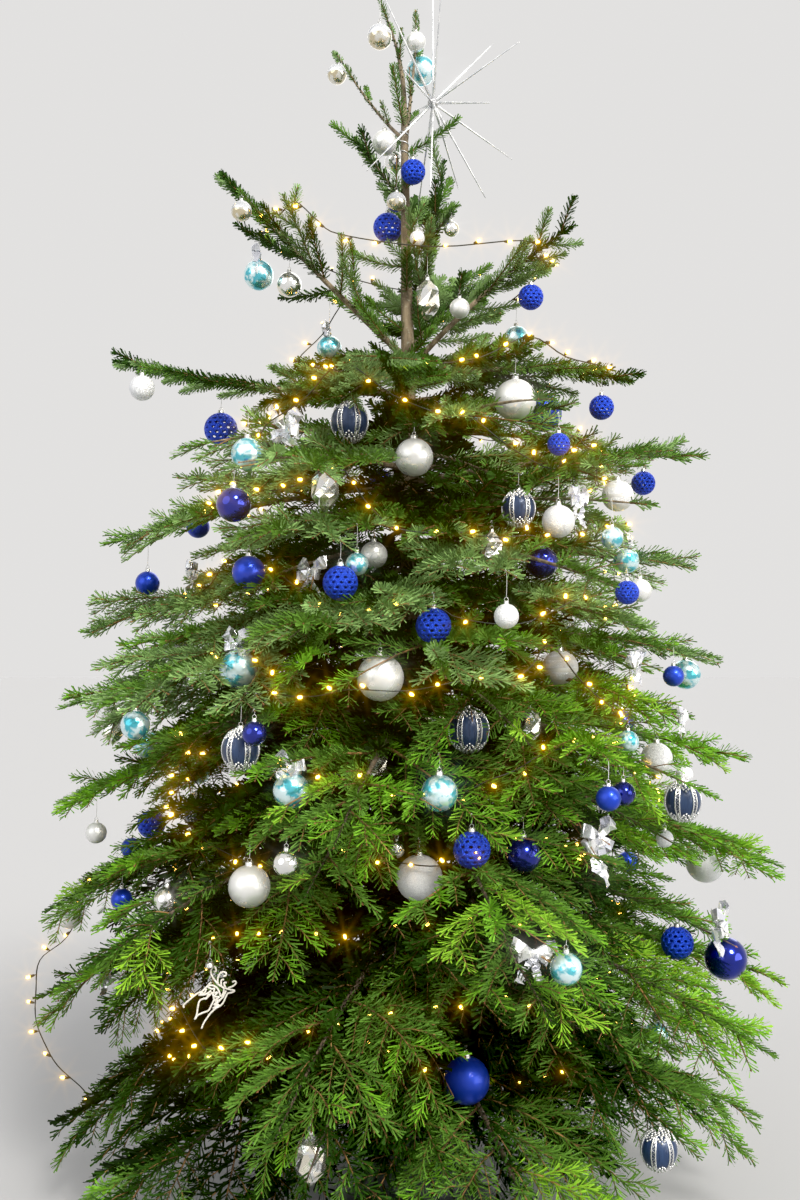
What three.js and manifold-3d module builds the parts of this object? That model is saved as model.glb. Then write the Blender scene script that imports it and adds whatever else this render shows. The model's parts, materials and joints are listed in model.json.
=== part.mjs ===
// A fir cut as a Christmas tree. It stands in a plain bucket stand, which grips the trunk with clamp screws.
// Sizes are in millimetres. +Z is up, -Y is the front, and the origin is on the floor under the stand's middle.

import * as THREE from 'three';
import { mergeVertices } from 'three/addons/utils/BufferGeometryUtils.js';
import Module from 'manifold-3d';

const wasm = await Module();
wasm.setup();

// Clearances
const SEAT_GAP = 0.3; // between two pieces where one carries the other
const NEEDLE_GAP = 3; // between the needles of one mass and anything that isn't that mass
const FLOOR_GAP = 25; // between the lowest needles and the floor
const ROOT_OVERLAP = 60; // cubic millimetres that two sprays of one mass may share, by their roots

// Stand: a bucket on a wide foot, with its screws spaced evenly round the collar
const BUCKET = {
  footRadius: 168,
  footRound: 4,
  footEdge: 14,
  footRise: 34,
  skirt: 14, // how far the foot's top stands out past the waist
  waistRadius: 104,
  waistHeight: 62,
  bodyRadius: 93,
  collarRadius: 99,
  collarRise: 6,
  collarDepth: 30,
  lipRound: 3,
  innerTaper: 2,
  height: 205,
  wall: 12,
  floor: 26,
  innerFootRadius: 64,
  sides: 20,
};
const SCREW = {
  count: 4,
  firstAzimuth: 45,
  height: BUCKET.height - BUCKET.collarDepth / 2,
  shaftRadius: 5,
  padRadius: 9,
  padLength: 5,
  reach: 136,
  handleRadius: 6,
  handleLength: 62,
  handleTurns: [70, 25, 60, 15], // degrees that each handle stands away from level
  sides: 8,
};

// Trunk: it leans as it rises and ends where the crown forks into three leaders
const TRUNK = {
  foot: BUCKET.floor + SEAT_GAP,
  top: 2205,
  taperHeight: 2414, // where the trunk's straight taper would come down to tipRadius
  buttRadius: 38,
  tipRadius: 3,
  flare: 7,
  flareHeight: 55,
  leanHeight: 2150,
  lean: -31,
  levels: [45, 100, 160, 210, 620, 1080, 1540, 1880, 2120], // heights at which its sides bend
  sides: 12,
};

// Crown: whorls of boughs, from the lowest to the one under the open top. left and right give how far the tip
// on that side reaches from the axis and how high it is. back and front count the boughs between them, which
// turn by some degrees from even places. arch lifts a bough's middle above the line from its root to its tip.
const TIERS = [
  { root: 335, left: [724, 138], right: [660, 168], back: 2, front: 2, turn: -22, arch: 44 },
  { root: 565, left: [762, 385], right: [704, 432], back: 2, front: 2, turn: 23, arch: 40 },
  { root: 780, left: [742, 560], right: [708, 655], back: 2, front: 2, turn: -21, arch: 36 },
  { root: 965, left: [720, 775], right: [640, 862], back: 2, front: 2, turn: 24, arch: 30 },
  { root: 1130, left: [727, 962], right: [592, 1064], back: 1, front: 2, turn: -24, arch: 24 },
  { root: 1285, left: [700, 1118], right: [545, 1245], back: 1, front: 1, turn: 26, arch: 20 },
  { root: 1432, left: [630, 1290], right: [566, 1470], back: 1, front: 1, turn: -32, arch: 18 },
];
// Single boughs of the open top. share is the part of a limb's length that is bare and is a bough of its own.
const TOP_BOUGHS = [
  { name: 'long_left', azimuth: 181, root: 1608, reach: 616, tip: 1668, arch: -24, share: 0.44 },
  { name: 'long_right', azimuth: -4, root: 1622, reach: 428, tip: 1622, arch: 30, share: 0.42 },
  { name: 'long_front', azimuth: 262, root: 1590, reach: 500, tip: 1560, arch: 14 },
  { name: 'long_back', azimuth: 84, root: 1596, reach: 540, tip: 1580, arch: 12 },
  { name: 'steep_left', azimuth: 193, root: 1672, reach: 402, tip: 2022, arch: -8, share: 0.48 },
  { name: 'steep_right', azimuth: 336, root: 1650, reach: 322, tip: 1902, arch: 20, share: 0.42 },
  { name: 'steep_back', azimuth: 70, root: 1690, reach: 360, tip: 1960, arch: -6 },
  { name: 'upright_right', azimuth: 352, root: 1752, reach: 50, tip: 2078, arch: -60 },
  { name: 'upper_left', azimuth: 205, root: 1988, reach: 142, tip: 2104, arch: 4 },
  { name: 'upper_back', azimuth: 92, root: 1925, reach: 180, tip: 2076, arch: 8 },
];
const LEADERS = [
  { name: 'leader_left', azimuth: 184, root: 2128, reach: 170, tip: 2304, arch: -14 },
  { name: 'leader_right', azimuth: 352, root: 2100, reach: -1, tip: 2382, arch: 0 },
];
const MIDDLE_LEADER = { name: 'leader_middle', reach: 79, tip: 2414 };

// Limbs
const BOUGH = { rootShare: 0.0088, rootBase: 2.4, tipRadius: 2.6, sides: 6, stemSides: 3, stepLength: 130 };
const STEM_END = 0.74; // share of a limb's length where its stem ends inside the last spray
const TIP_SPRAY_START = 0.68;
const LAST_ROOT = 0.71; // side sprays root no further out than this
const SWAY = 7; // degrees that a bough may stand to either side of its even place
const STAGGER = 14; // how far neighbours in a whorl root above and below its middle

// Sprays of needles: thin toothed blades, ridged along their twig. Angles are in degrees.
const SPRAY = {
  spacing: 185,
  lengthShare: 0.66,
  leastLength: 95,
  widthShare: 0.5,
  leastWidth: 52,
  ridgeShare: 0.36,
  notchShare: 0.46,
  toothLean: 0.93,
  toothLength: 118,
  angle: 50,
  angleSway: 9,
  pitchSway: 26,
  rollSway: 55,
  sink: 0.3, // share of the stem's radius that a spray's root lies past the stem's axis
};
// Where side sprays root: the shares of a limb between which they stand, and the bare share past a bough's end
const SIDES = { nearest: 0.26, furthest: 0.86, bareStart: 0.07, onlyPair: 0.6, offset: 0.25 };
// How long a side spray is: longest a third of the way out, and shorter evenly from there to the tip
const FAN = { longestAt: 0.35, end: 1.08, fullness: 0.8 };
// A blade's outline swells most at one share of its length
const SWELL = { widestAt: 0.42, narrowing: 1.25 };
// How a spray is shortened or turned where its first place is taken: [share of length, lift in degrees]
const RETRIES = [
  [1, 0], [1, 14], [1, -14], [0.9, 28], [0.9, -28],
  [0.8, 42], [0.8, -42], [0.66, 20], [0.66, -20],
];
const LEAST_DETAIL = 0.02; // joints smaller than this are smoothed away
const SEEDS = { tiers: 101, sprays: 700 };

// Colours
const finish = (color, roughness) => new THREE.MeshStandardMaterial({ color, roughness, metalness: 0 });
const FINISHES = {
  bark: finish(0x6f5a45, 0.9),
  needles: finish(0x4d6b35, 0.75),
  plastic: finish(0x1d2320, 0.55),
  screws: finish(0xa8201c, 0.45),
};

const UP = new THREE.Vector3(0, 0, 1);
const radians = THREE.MathUtils.degToRad;
const mix = THREE.MathUtils.lerp;

// Repeatable random numbers from 0 to 1
function seeded(seed) {
  let state = seed;
  return () => {
    state = (Math.imul(state, 1664525) + 1013904223) >>> 0;
    return state / 2 ** 32;
  };
}

function solidOf(geometry) {
  const bare = geometry.clone();
  bare.deleteAttribute('normal');
  bare.deleteAttribute('uv');
  const merged = mergeVertices(bare, 1e-4);
  const vertProperties = new Float32Array(merged.attributes.position.array);
  const triVerts = new Uint32Array(merged.index.array);
  return new wasm.Manifold(new wasm.Mesh({ numProp: 3, vertProperties, triVerts }));
}

function geometryOf(solid) {
  const { vertProperties, triVerts } = solid.getMesh();
  const geometry = new THREE.BufferGeometry();
  geometry.setAttribute('position', new THREE.BufferAttribute(new Float32Array(vertProperties), 3));
  geometry.setIndex(new THREE.BufferAttribute(new Uint32Array(triVerts), 1));
  geometry.computeVertexNormals();
  return geometry;
}

// Leaves out any scrap or sealed hollow that a cut or join has left
function largestPiece(solid) {
  return solid.decompose().reduce((best, piece) => (piece.volume() > best.volume() ? piece : best));
}

// Trunk

function trunkRadius(height) {
  const taper = mix(TRUNK.buttRadius, TRUNK.tipRadius, height / TRUNK.taperHeight);
  return taper + TRUNK.flare * Math.exp(-height / TRUNK.flareHeight);
}

function trunkAxis(height) {
  return new THREE.Vector3((TRUNK.lean * height) / TRUNK.leanHeight, 0, height);
}

// The trunk's outside, grown by a margin, as a bent and tapered cylinder with level rings
function trunkGeometry(margin = 0) {
  const levels = [TRUNK.foot, ...TRUNK.levels, TRUNK.top];
  const steps = levels.length - 1;
  const geometry = new THREE.CylinderGeometry(1, 1, 1, TRUNK.sides, steps).rotateX(Math.PI / 2);
  const grown = margin / Math.cos(Math.PI / TRUNK.sides);
  const position = geometry.attributes.position;
  for (let i = 0; i < position.count; i++) {
    const height = levels[Math.round((position.getZ(i) + 0.5) * steps)];
    const centre = trunkAxis(height);
    const radius = trunkRadius(height) + grown;
    const overhang = margin * Math.sign(position.getZ(i)) * (height === TRUNK.foot || height === TRUNK.top);
    position.setXYZ(i, centre.x + radius * position.getX(i), radius * position.getY(i), height + overhang);
  }
  return geometry;
}

// Stand

function bucketSolid() {
  const b = BUCKET;
  const inner = b.bodyRadius - b.wall;
  const collarFoot = b.height - b.collarDepth;
  const profile = [
    [0, 0],
    [b.footRadius - b.footRound, 0],
    [b.footRadius, b.footRound],
    [b.footRadius - b.footRound, b.footEdge],
    [b.waistRadius + b.skirt, b.footRise],
    [b.waistRadius, b.waistHeight],
    [b.bodyRadius, collarFoot - b.collarRise],
    [b.collarRadius, collarFoot],
    [b.collarRadius, b.height - b.lipRound],
    [b.collarRadius - b.lipRound, b.height],
    [inner, b.height],
    [inner - b.innerTaper, b.waistHeight],
    [b.innerFootRadius, b.floor],
    [0, b.floor],
  ].map(([radius, height]) => new THREE.Vector2(radius, height));
  const body = solidOf(new THREE.LatheGeometry(profile, b.sides).rotateX(Math.PI / 2));
  return screwAzimuths().reduce((cut, azimuth) => cut.subtract(screwHole(azimuth)), body);
}

function screwAzimuths() {
  return Array.from({ length: SCREW.count }, (_, i) => SCREW.firstAzimuth + (360 / SCREW.count) * i);
}

// Puts a geometry built along +X at the collar's height, pointing out from the axis
function atCollar(geometry, azimuth) {
  return geometry.rotateZ(radians(azimuth)).translate(0, 0, SCREW.height);
}

function screwHole(azimuth) {
  const radius = SCREW.shaftRadius + SEAT_GAP;
  const drill = new THREE.CylinderGeometry(radius, radius, BUCKET.collarRadius, SCREW.sides);
  return solidOf(atCollar(drill.rotateZ(-Math.PI / 2).translate(BUCKET.collarRadius, 0, 0), azimuth));
}

// A pad against the trunk, a shaft through the collar, and a bar to turn it by
function screwSolid(azimuth, index) {
  const s = SCREW;
  const facet = trunkRadius(s.height - s.padRadius) * Math.cos(Math.PI / TRUNK.sides);
  const start = facet + trunkAxis(s.height).x * Math.cos(radians(azimuth)) + SEAT_GAP;
  const pad = start + s.padLength;
  const profile = [
    [0, start],
    [s.padRadius, start],
    [s.padRadius, pad],
    [s.shaftRadius, pad],
    [s.shaftRadius, s.reach],
    [0, s.reach],
  ].map(([radius, along]) => new THREE.Vector2(radius, along));
  const shaft = new THREE.LatheGeometry(profile, s.sides).rotateZ(-Math.PI / 2);
  const bar = new THREE.CylinderGeometry(s.handleRadius, s.handleRadius, s.handleLength, s.sides);
  bar.rotateX(radians(s.handleTurns[index])).translate(s.reach, 0, 0);
  return solidOf(atCollar(shaft, azimuth)).add(solidOf(atCollar(bar, azimuth)));
}

// Limbs

// A limb's axis, from the trunk's axis to its tip, with its radius along it and the level direction across it
function limbOf({ name, azimuth, root, reach, tip, arch, share = 0 }) {
  const angle = radians(azimuth);
  const start = trunkAxis(root);
  const end = new THREE.Vector3(reach * Math.cos(angle), reach * Math.sin(angle), tip);
  const middle = start.clone().add(end).multiplyScalar(0.5).addScaledVector(UP, 2 * arch);
  const curve = new THREE.QuadraticBezierCurve3(start, middle, end);
  const rootRadius = BOUGH.rootBase + BOUGH.rootShare * curve.getLength();
  const level = new THREE.Vector3(-Math.sin(angle), Math.cos(angle), 0);
  const radius = (t) => mix(rootRadius, BOUGH.tipRadius, t);
  return { name, curve, share, level, length: curve.getLength(), radius };
}

// The directions along, across and over a limb at one place
function frameAt(limb, t) {
  const along = limb.curve.getTangent(t);
  const across = limb.level.clone().addScaledVector(along, -limb.level.dot(along)).normalize();
  const over = new THREE.Vector3().crossVectors(along, across);
  return { point: limb.curve.getPoint(t), along, across, over };
}

// The round tapered wood of a limb between two shares of its length
function woodGeometry(limb, from, to, sides) {
  const steps = Math.max(2, Math.round(((to - from) * limb.length) / BOUGH.stepLength));
  const geometry = new THREE.CylinderGeometry(1, 1, 1, sides, steps);
  const position = geometry.attributes.position;
  for (let i = 0; i < position.count; i++) {
    const t = mix(from, to, position.getY(i) + 0.5);
    const { point, across, over } = frameAt(limb, t);
    point.addScaledVector(over, limb.radius(t) * position.getX(i));
    point.addScaledVector(across, limb.radius(t) * position.getZ(i));
    position.setXYZ(i, point.x, point.y, point.z);
  }
  return geometry;
}

// The tiers' limbs, spread evenly over the front and the back between the two sides that set the outline
function tierLimbs(tier, number) {
  const random = seeded(SEEDS.tiers + number);
  const evenly = (count, from, i) => from + (180 * (i + 1)) / (count + 1);
  const labels = {
    back: tier.back > 1 ? ['back_right', 'back_left'] : ['back'],
    front: tier.front > 1 ? ['front_left', 'front_right'] : ['front'],
  };
  const places = [
    ['right', 0],
    ...labels.back.map((label, i) => [label, evenly(tier.back, 0, i)]),
    ['left', 180],
    ...labels.front.map((label, i) => [label, evenly(tier.front, 180, i)]),
  ];
  return places.map(([label, even], i) => {
    const leftward = (1 - Math.cos(radians(even))) / 2;
    const azimuth = even + tier.turn * Math.abs(Math.sin(radians(even))) + SWAY * (2 * random() - 1);
    return limbOf({
      name: `tier_${number}_${label}`,
      azimuth,
      root: tier.root + STAGGER * (i % 2 ? 1 : -1),
      reach: mix(tier.right[0], tier.left[0], leftward),
      tip: mix(tier.right[1], tier.left[1], leftward),
      arch: tier.arch,
    });
  });
}

// The middle leader goes on from the trunk's top
function middleLeader() {
  const start = trunkAxis(TRUNK.top + SEAT_GAP);
  const end = new THREE.Vector3(-MIDDLE_LEADER.reach, 0, MIDDLE_LEADER.tip);
  const middle = new THREE.Vector3(start.x, 0, mix(start.z, end.z, 0.5));
  const curve = new THREE.QuadraticBezierCurve3(start, middle, end);
  const radius = (t) => mix(trunkRadius(TRUNK.top), BOUGH.tipRadius, t);
  const level = new THREE.Vector3(0, 1, 0);
  return { name: MIDDLE_LEADER.name, curve, share: 0, level, length: curve.getLength(), radius };
}

// Sprays of needles

// A spray with its root at the origin and its tip on +X. Each side has teeth that lean forward between notches.
function sprayGeometry(length, width) {
  const pairs = Math.max(2, Math.round(length / SPRAY.toothLength));
  const positions = [];
  const faces = [];
  const point = (x, y, z) => positions.push(x, y, z) / 3 - 1;
  const swell = (share) => 1 - (SWELL.narrowing * (share - SWELL.widestAt)) ** 2;
  const root = point(0, 0, 0);
  const tip = point(length, 0, 0);
  const face = (side, top, ...corners) => faces.push(...(side * top > 0 ? corners : corners.reverse()));
  let before = { x: 0, ridge: { 1: root, '-1': root }, notch: { 1: root, '-1': root } };
  for (let i = 1; i <= pairs; i++) {
    const x = (length * i) / (pairs + 1);
    const half = (width / 2) * swell(x / length);
    const station = {
      x,
      ridge: { 1: point(x, 0, half * SPRAY.ridgeShare), '-1': point(x, 0, -half * SPRAY.ridgeShare) },
      notch: { 1: point(x, half * SPRAY.notchShare, 0), '-1': point(x, -half * SPRAY.notchShare, 0) },
    };
    for (const side of [1, -1]) {
      const tooth = point(mix(before.x, x, SPRAY.toothLean), side * half, 0);
      for (const top of [1, -1]) {
        face(side, top, before.ridge[top], station.ridge[top], tooth);
        face(side, top, station.ridge[top], station.notch[side], tooth);
        if (i > 1) face(side, top, before.ridge[top], tooth, before.notch[side]);
        if (i === pairs) face(side, top, station.ridge[top], tip, station.notch[side]);
      }
    }
    before = station;
  }
  const geometry = new THREE.BufferGeometry();
  geometry.setAttribute('position', new THREE.Float32BufferAttribute(positions, 3));
  geometry.setIndex(faces);
  return geometry;
}

// A spray from a root in a direction, with its flat side turned by a roll from the given upward direction
function spraySolid(root, direction, over, roll, length) {
  const width = Math.max(SPRAY.leastWidth, SPRAY.widthShare * length);
  const across = new THREE.Vector3().crossVectors(over, direction).normalize().applyAxisAngle(direction, roll);
  const face = new THREE.Vector3().crossVectors(direction, across);
  const place = new THREE.Matrix4().makeBasis(direction, across, face).setPosition(root);
  return solidOf(sprayGeometry(length, width).applyMatrix4(place));
}

// The length of a side spray that roots at a share of its limb
function sideLength(limb, share) {
  const fan = (FAN.end - share) ** FAN.fullness * Math.min(1, share / FAN.longestAt);
  return Math.max(SPRAY.leastLength, SPRAY.lengthShare * limb.length * fan);
}

// Where a limb's side sprays grow, in pairs from the tip inwards, with the seeded sway of each
function sideSprays(limb, seed) {
  const random = seeded(seed);
  const sway = (most) => radians(most) * (2 * random() - 1);
  const nearest = Math.max(limb.share + SIDES.bareStart, SIDES.nearest);
  const pairs = Math.max(1, Math.round(((SIDES.furthest - nearest) * limb.length) / SPRAY.spacing) + 1);
  const sprays = [];
  for (let pair = 0; pair < pairs; pair++) {
    for (const side of [1, -1]) {
      const inward = (pair + SIDES.offset * (side > 0)) / (pairs - 1 + SIDES.offset);
      const share = pairs > 1 ? mix(SIDES.furthest, nearest, inward) : SIDES.onlyPair;
      const turn = radians(SPRAY.angle) + sway(SPRAY.angleSway);
      sprays.push({ share, side, turn, pitch: sway(SPRAY.pitchSway), roll: sway(SPRAY.rollSway) });
    }
  }
  return sprays;
}

// Everything that is built so far, and whether a new spray keeps clear of what isn't its own mass
class Crown {
  constructor() {
    this.taken = [];
  }

  take(owner, solid, isStem = false) {
    this.taken.push({ owner, solid, isStem, box: solid.boundingBox() });
  }

  isClear(owner, solid) {
    const box = solid.boundingBox();
    if (box.min[2] < FLOOR_GAP) return false;
    const near = ({ box: other }) =>
      [0, 1, 2].every((i) => box.min[i] - NEEDLE_GAP < other.max[i] && other.min[i] - NEEDLE_GAP < box.max[i]);
    return this.taken.filter(near).every((one) => {
      if (one.owner === owner) return one.isStem || solid.intersect(one.solid).volume() < ROOT_OVERLAP;
      return solid.minGap(one.solid, NEEDLE_GAP) >= NEEDLE_GAP;
    });
  }

  // Tries a spray in each allowed way and keeps the first that is clear
  grow(mass, root, direction, over, roll, length) {
    for (const [share, lift] of RETRIES) {
      const turned = direction.clone().addScaledVector(over, Math.tan(radians(lift))).normalize();
      const spray = spraySolid(root, turned, over, roll, length * share);
      if (this.isClear(mass.name, spray)) {
        this.take(mass.name, spray);
        mass.solids.push(spray);
        return;
      }
    }
  }
}

function growTipSpray(crown, mass) {
  const { limb } = mass;
  const start = frameAt(limb, TIP_SPRAY_START);
  const reach = limb.curve.getPoint(1).sub(start.point);
  crown.grow(mass, start.point, reach.clone().normalize(), start.over, 0, reach.length());
}

function growSideSpray(crown, mass, { share, side, turn, pitch, roll }) {
  const { limb } = mass;
  const { point, along, across, over } = frameAt(limb, Math.min(share, LAST_ROOT));
  const direction = along.clone().multiplyScalar(Math.cos(turn)).addScaledVector(across, side * Math.sin(turn));
  direction.addScaledVector(over, Math.tan(pitch)).normalize();
  const root = point.addScaledVector(direction, -SPRAY.sink * limb.radius(share));
  crown.grow(mass, root, direction, over, roll, sideLength(limb, share));
}

// Assembly

const tree = new THREE.Group();

function addNode(name, solid, material) {
  const mesh = new THREE.Mesh(geometryOf(solid), material);
  mesh.name = name;
  tree.add(mesh);
}

const crown = new Crown();
const trunk = solidOf(trunkGeometry());
const trunkSpace = solidOf(trunkGeometry(SEAT_GAP));
addNode('trunk', trunk, FINISHES.bark);
crown.take('trunk', trunk);

const bucket = bucketSolid();
addNode('stand_bucket', bucket, FINISHES.plastic);
crown.take('stand', bucket);
screwAzimuths().forEach((azimuth, index) => {
  const screw = screwSolid(azimuth, index);
  addNode(`clamp_screw_${index + 1}`, screw, FINISHES.screws);
  crown.take('stand', screw);
});

const limbs = [
  ...TIERS.flatMap((tier, i) => tierLimbs(tier, i + 1)),
  ...[...TOP_BOUGHS, ...LEADERS].map(limbOf),
  middleLeader(),
];

const masses = limbs.map((limb, index) => {
  if (limb.share > 0) {
    const wood = solidOf(woodGeometry(limb, 0, limb.share, BOUGH.sides));
    const bough = largestPiece(wood.subtract(trunkSpace));
    addNode(`bough_${limb.name}`, bough, FINISHES.bark);
    crown.take(`bough_${limb.name}`, bough);
  }
  const from = limb.share > 0 ? limb.share + SEAT_GAP / limb.length : 0;
  const wood = solidOf(woodGeometry(limb, from, STEM_END, BOUGH.stemSides));
  const stem = largestPiece(wood.subtract(trunkSpace));
  crown.take(limb.name, stem, true);
  return { name: limb.name, limb, solids: [stem], sides: sideSprays(limb, SEEDS.sprays + index) };
});

// Tip sprays come first, then side sprays from the tips inwards, so that each mass gets its share of the room
masses.forEach((mass) => growTipSpray(crown, mass));
const mostSides = Math.max(...masses.map((mass) => mass.sides.length));
for (let turn = 0; turn < mostSides; turn++) {
  masses.filter((mass) => mass.sides[turn]).forEach((mass) => growSideSpray(crown, mass, mass.sides[turn]));
}
for (const mass of masses) {
  const joined = largestPiece(wasm.Manifold.union(mass.solids)).simplify(LEAST_DETAIL);
  addNode(`foliage_${mass.name}`, joined, FINISHES.needles);
}

export default tree;
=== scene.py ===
"""A cut fir dressed as a Christmas tree: bark, boughs, twigs, needles, stand, ornaments and lights.

The crown grows by the rule that shapes its solids, carried on to finer twigs within the same reach.
Sizes are in millimetres and degrees, in the frame of the solids, and meshes are made in metres.
"""

import json
import logging
from dataclasses import dataclass, field, replace
from enum import Enum
from functools import cached_property
from itertools import product
from math import atan2, ceil, cos, degrees, hypot, pi, radians, sin, sqrt, tan
from typing import Any, ClassVar, Optional, Sequence

import bpy
import numpy as np
from mathutils.kdtree import KDTree
from numpy.linalg import norm
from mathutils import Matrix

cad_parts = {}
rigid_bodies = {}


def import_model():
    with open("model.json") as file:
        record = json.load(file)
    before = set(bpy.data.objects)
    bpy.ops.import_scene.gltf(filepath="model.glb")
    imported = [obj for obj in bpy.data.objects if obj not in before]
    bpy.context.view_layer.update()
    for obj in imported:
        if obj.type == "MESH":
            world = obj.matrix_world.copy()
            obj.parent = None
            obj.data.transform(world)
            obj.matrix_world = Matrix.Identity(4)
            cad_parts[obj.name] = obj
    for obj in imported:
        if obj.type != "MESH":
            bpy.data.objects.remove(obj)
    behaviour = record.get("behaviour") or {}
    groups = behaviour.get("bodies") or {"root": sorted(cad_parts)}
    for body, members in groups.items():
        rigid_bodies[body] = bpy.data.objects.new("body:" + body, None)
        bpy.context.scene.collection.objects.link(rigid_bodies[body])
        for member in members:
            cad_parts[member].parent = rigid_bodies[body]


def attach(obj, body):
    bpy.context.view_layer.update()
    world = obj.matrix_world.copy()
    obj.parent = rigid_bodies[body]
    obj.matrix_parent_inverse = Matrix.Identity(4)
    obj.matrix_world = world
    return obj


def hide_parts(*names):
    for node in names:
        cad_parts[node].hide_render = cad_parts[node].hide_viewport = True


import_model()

Array = np.ndarray
Triple = tuple[float, float, float]
Colour = Triple
Form = tuple[Array, list[Array]]
Material = bpy.types.Material
Pair = tuple[float, float]

LOG = logging.getLogger("tree")
MM = 0.001
UP = np.array([0.0, 0.0, 1.0])


def mix(a: Any, b: Any, share: Any) -> Any:
    """The value at a share of the way from a to b."""
    return a + (b - a) * share


def unit(vectors: Array) -> Array:
    """Vectors, or one vector, at length one."""
    return vectors / np.maximum(norm(vectors, axis=-1, keepdims=True), 1e-9)


def vec(*numbers: float) -> Array:
    """A vector of these numbers."""
    return np.array(numbers, float)


def level_way(angle: float) -> Array:
    """The level direction at an angle from +X, in radians."""
    return vec(cos(angle), sin(angle), 0)


def quarter_on(way: Array) -> Array:
    """The level direction that is a quarter turn on from another one."""
    return vec(-way[1], way[0], 0)


def leant(first: Array, second: Array, angle: float) -> Array:
    """The direction at an angle from one direction towards another that is square to it."""
    return first * cos(angle) + second * sin(angle)


def square_to(way: Array, vector: Array) -> Array:
    """The direction nearest to a vector that is square to a way."""
    return unit(vector - way * float(way @ vector))


def fanned(axes: tuple[Array, Array, Array], side: int, turn: float, lift: float) -> Array:
    """A direction that leaves a limb or twig.

    Args:
        axes: the directions along, across and over it.
        side: 1 or -1, for the one side of it and the other.
        turn: the angle from its line to that side.
        lift: the angle over its level.

    Returns:
        The direction.
    """
    along, across, over = axes
    return unit(leant(along, across * side, turn) + over * tan(lift))


def turned(vector: Array, axis: Array, angle: float) -> Array:
    """A vector turned about a unit axis by an angle in radians."""
    return leant(vector, np.cross(axis, vector), angle) + axis * float(axis @ vector) * (1 - cos(angle))


def held(value: float, limits: Pair) -> float:
    """A value held between two limits."""
    return min(limits[1], max(limits[0], value))


def apart(azimuth: Any, other: Any) -> Any:
    """How far two azimuths, or an array of them and one, are apart, in degrees."""
    return abs((azimuth - other + 180) % 360 - 180)


def path_length(path: Array) -> float:
    """How long a path is."""
    return float(norm(np.diff(path, axis=0), axis=1).sum())


def smooth_path(points: Sequence[Sequence[float]], steps: int) -> Array:
    """A smooth path through points.

    Args:
        points: the points that it passes.
        steps: how many steps it takes from each point to the next.

    Returns:
        The path's points, from the first given point to the last.
    """
    given = np.array(points, float)
    led = np.vstack([2 * given[0] - given[1], given, 2 * given[-1] - given[-2]])
    path = []
    for before, here, there, after in zip(led, led[1:], led[2:], led[3:]):
        for share in np.linspace(0, 1, steps, endpoint=False):
            path.append(
                0.5 * (2 * here + (there - before) * share
                       + (2 * before - 5 * here + 4 * there - after) * share ** 2
                       + (3 * here - before - 3 * there + after) * share ** 3)
            )
    return np.array(path + [given[-1]])


class Seeded:
    """Repeatable random numbers, the same as the solids use."""

    def __init__(self, seed: int) -> None:
        """Starts the row of numbers at a seed."""
        self.state = seed

    def number(self) -> float:
        """The next number from 0 to 1."""
        self.state = (self.state * 1664525 + 1013904223) % 2 ** 32
        return self.state / 2 ** 32

    def sway(self, most: float) -> float:
        """The next angle in radians, up to some degrees either way."""
        return radians(most) * (2 * self.number() - 1)


# Meshes


def linked(name: str, data: Any) -> bpy.types.Object:
    """A new object of the scene."""
    thing = bpy.data.objects.new(name, data)
    bpy.context.scene.collection.objects.link(thing)
    return thing


class Mesh:
    """Gathers vertices and faces from arrays and turns them into one piece."""

    def __init__(self, name: str) -> None:
        """Starts an empty piece."""
        self.name = name
        self.vertices: list[Array] = []
        self.faces: list[Array] = []
        self.finish_of: list[Array] = []
        self.count = 0

    def add(self, vertices: Array, faces: Sequence[Array], finish: Any = 0) -> None:
        """Adds a form.

        Args:
            vertices: its points, in millimetres.
            faces: arrays of faces, each with one number of corners.
            finish: the number of the finish that it takes, or one for each array.
        """
        self.vertices.append(np.asarray(vertices, float).reshape(-1, 3))
        for group, number in zip(faces, np.broadcast_to(finish, len(faces))):
            self.faces.append(np.asarray(group, np.int64) + self.count)
            self.finish_of.append(np.full(len(group), number))
        self.count += len(self.vertices[-1])

    def turn(self, profile: Sequence[Sequence[float]], sides: int, place: Array,
             axes: Optional[Array] = None, finish: int = 0) -> None:
        """Adds a turned form at a place, with its axis along the last of some axes."""
        vertices, faces = revolve(profile, sides)
        self.add((vertices if axes is None else vertices @ axes.T) + place, faces, finish)

    def triangles(self) -> int:
        """How many triangles the piece has."""
        return int(sum(len(group) * (group.shape[1] - 2) for group in self.faces))

    def build(self, finishes: Sequence[Material], smooth: bool = True) -> bpy.types.Object:
        """Makes the piece, riding on the root body.

        Args:
            finishes: its materials, in the order of the finish numbers.
            smooth: whether it is shaded smooth.

        Returns:
            The new object.
        """
        data = bpy.data.meshes.new(self.name)
        corners = np.concatenate([group.ravel() for group in self.faces])
        totals = np.concatenate([np.full(len(group), group.shape[1]) for group in self.faces])
        data.vertices.add(self.count)
        data.vertices.foreach_set("co", (np.concatenate(self.vertices) * MM).astype(np.float32).ravel())
        data.loops.add(len(corners))
        data.loops.foreach_set("vertex_index", corners.astype(np.int32))
        data.polygons.add(len(totals))
        numbers = {"loop_start": np.cumsum(totals) - totals, "loop_total": totals,
                   "material_index": np.concatenate(self.finish_of)}
        for key, values in numbers.items():
            data.polygons.foreach_set(key, values.astype(np.int32))
        data.polygons.foreach_set("use_smooth", np.full(len(totals), smooth))
        for finish in finishes:
            data.materials.append(finish)
        data.update(calc_edges=True)
        piece = linked(self.name, data)
        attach(piece, "root")
        LOG.info("%s: %d triangles", self.name, self.triangles())
        return piece


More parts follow.
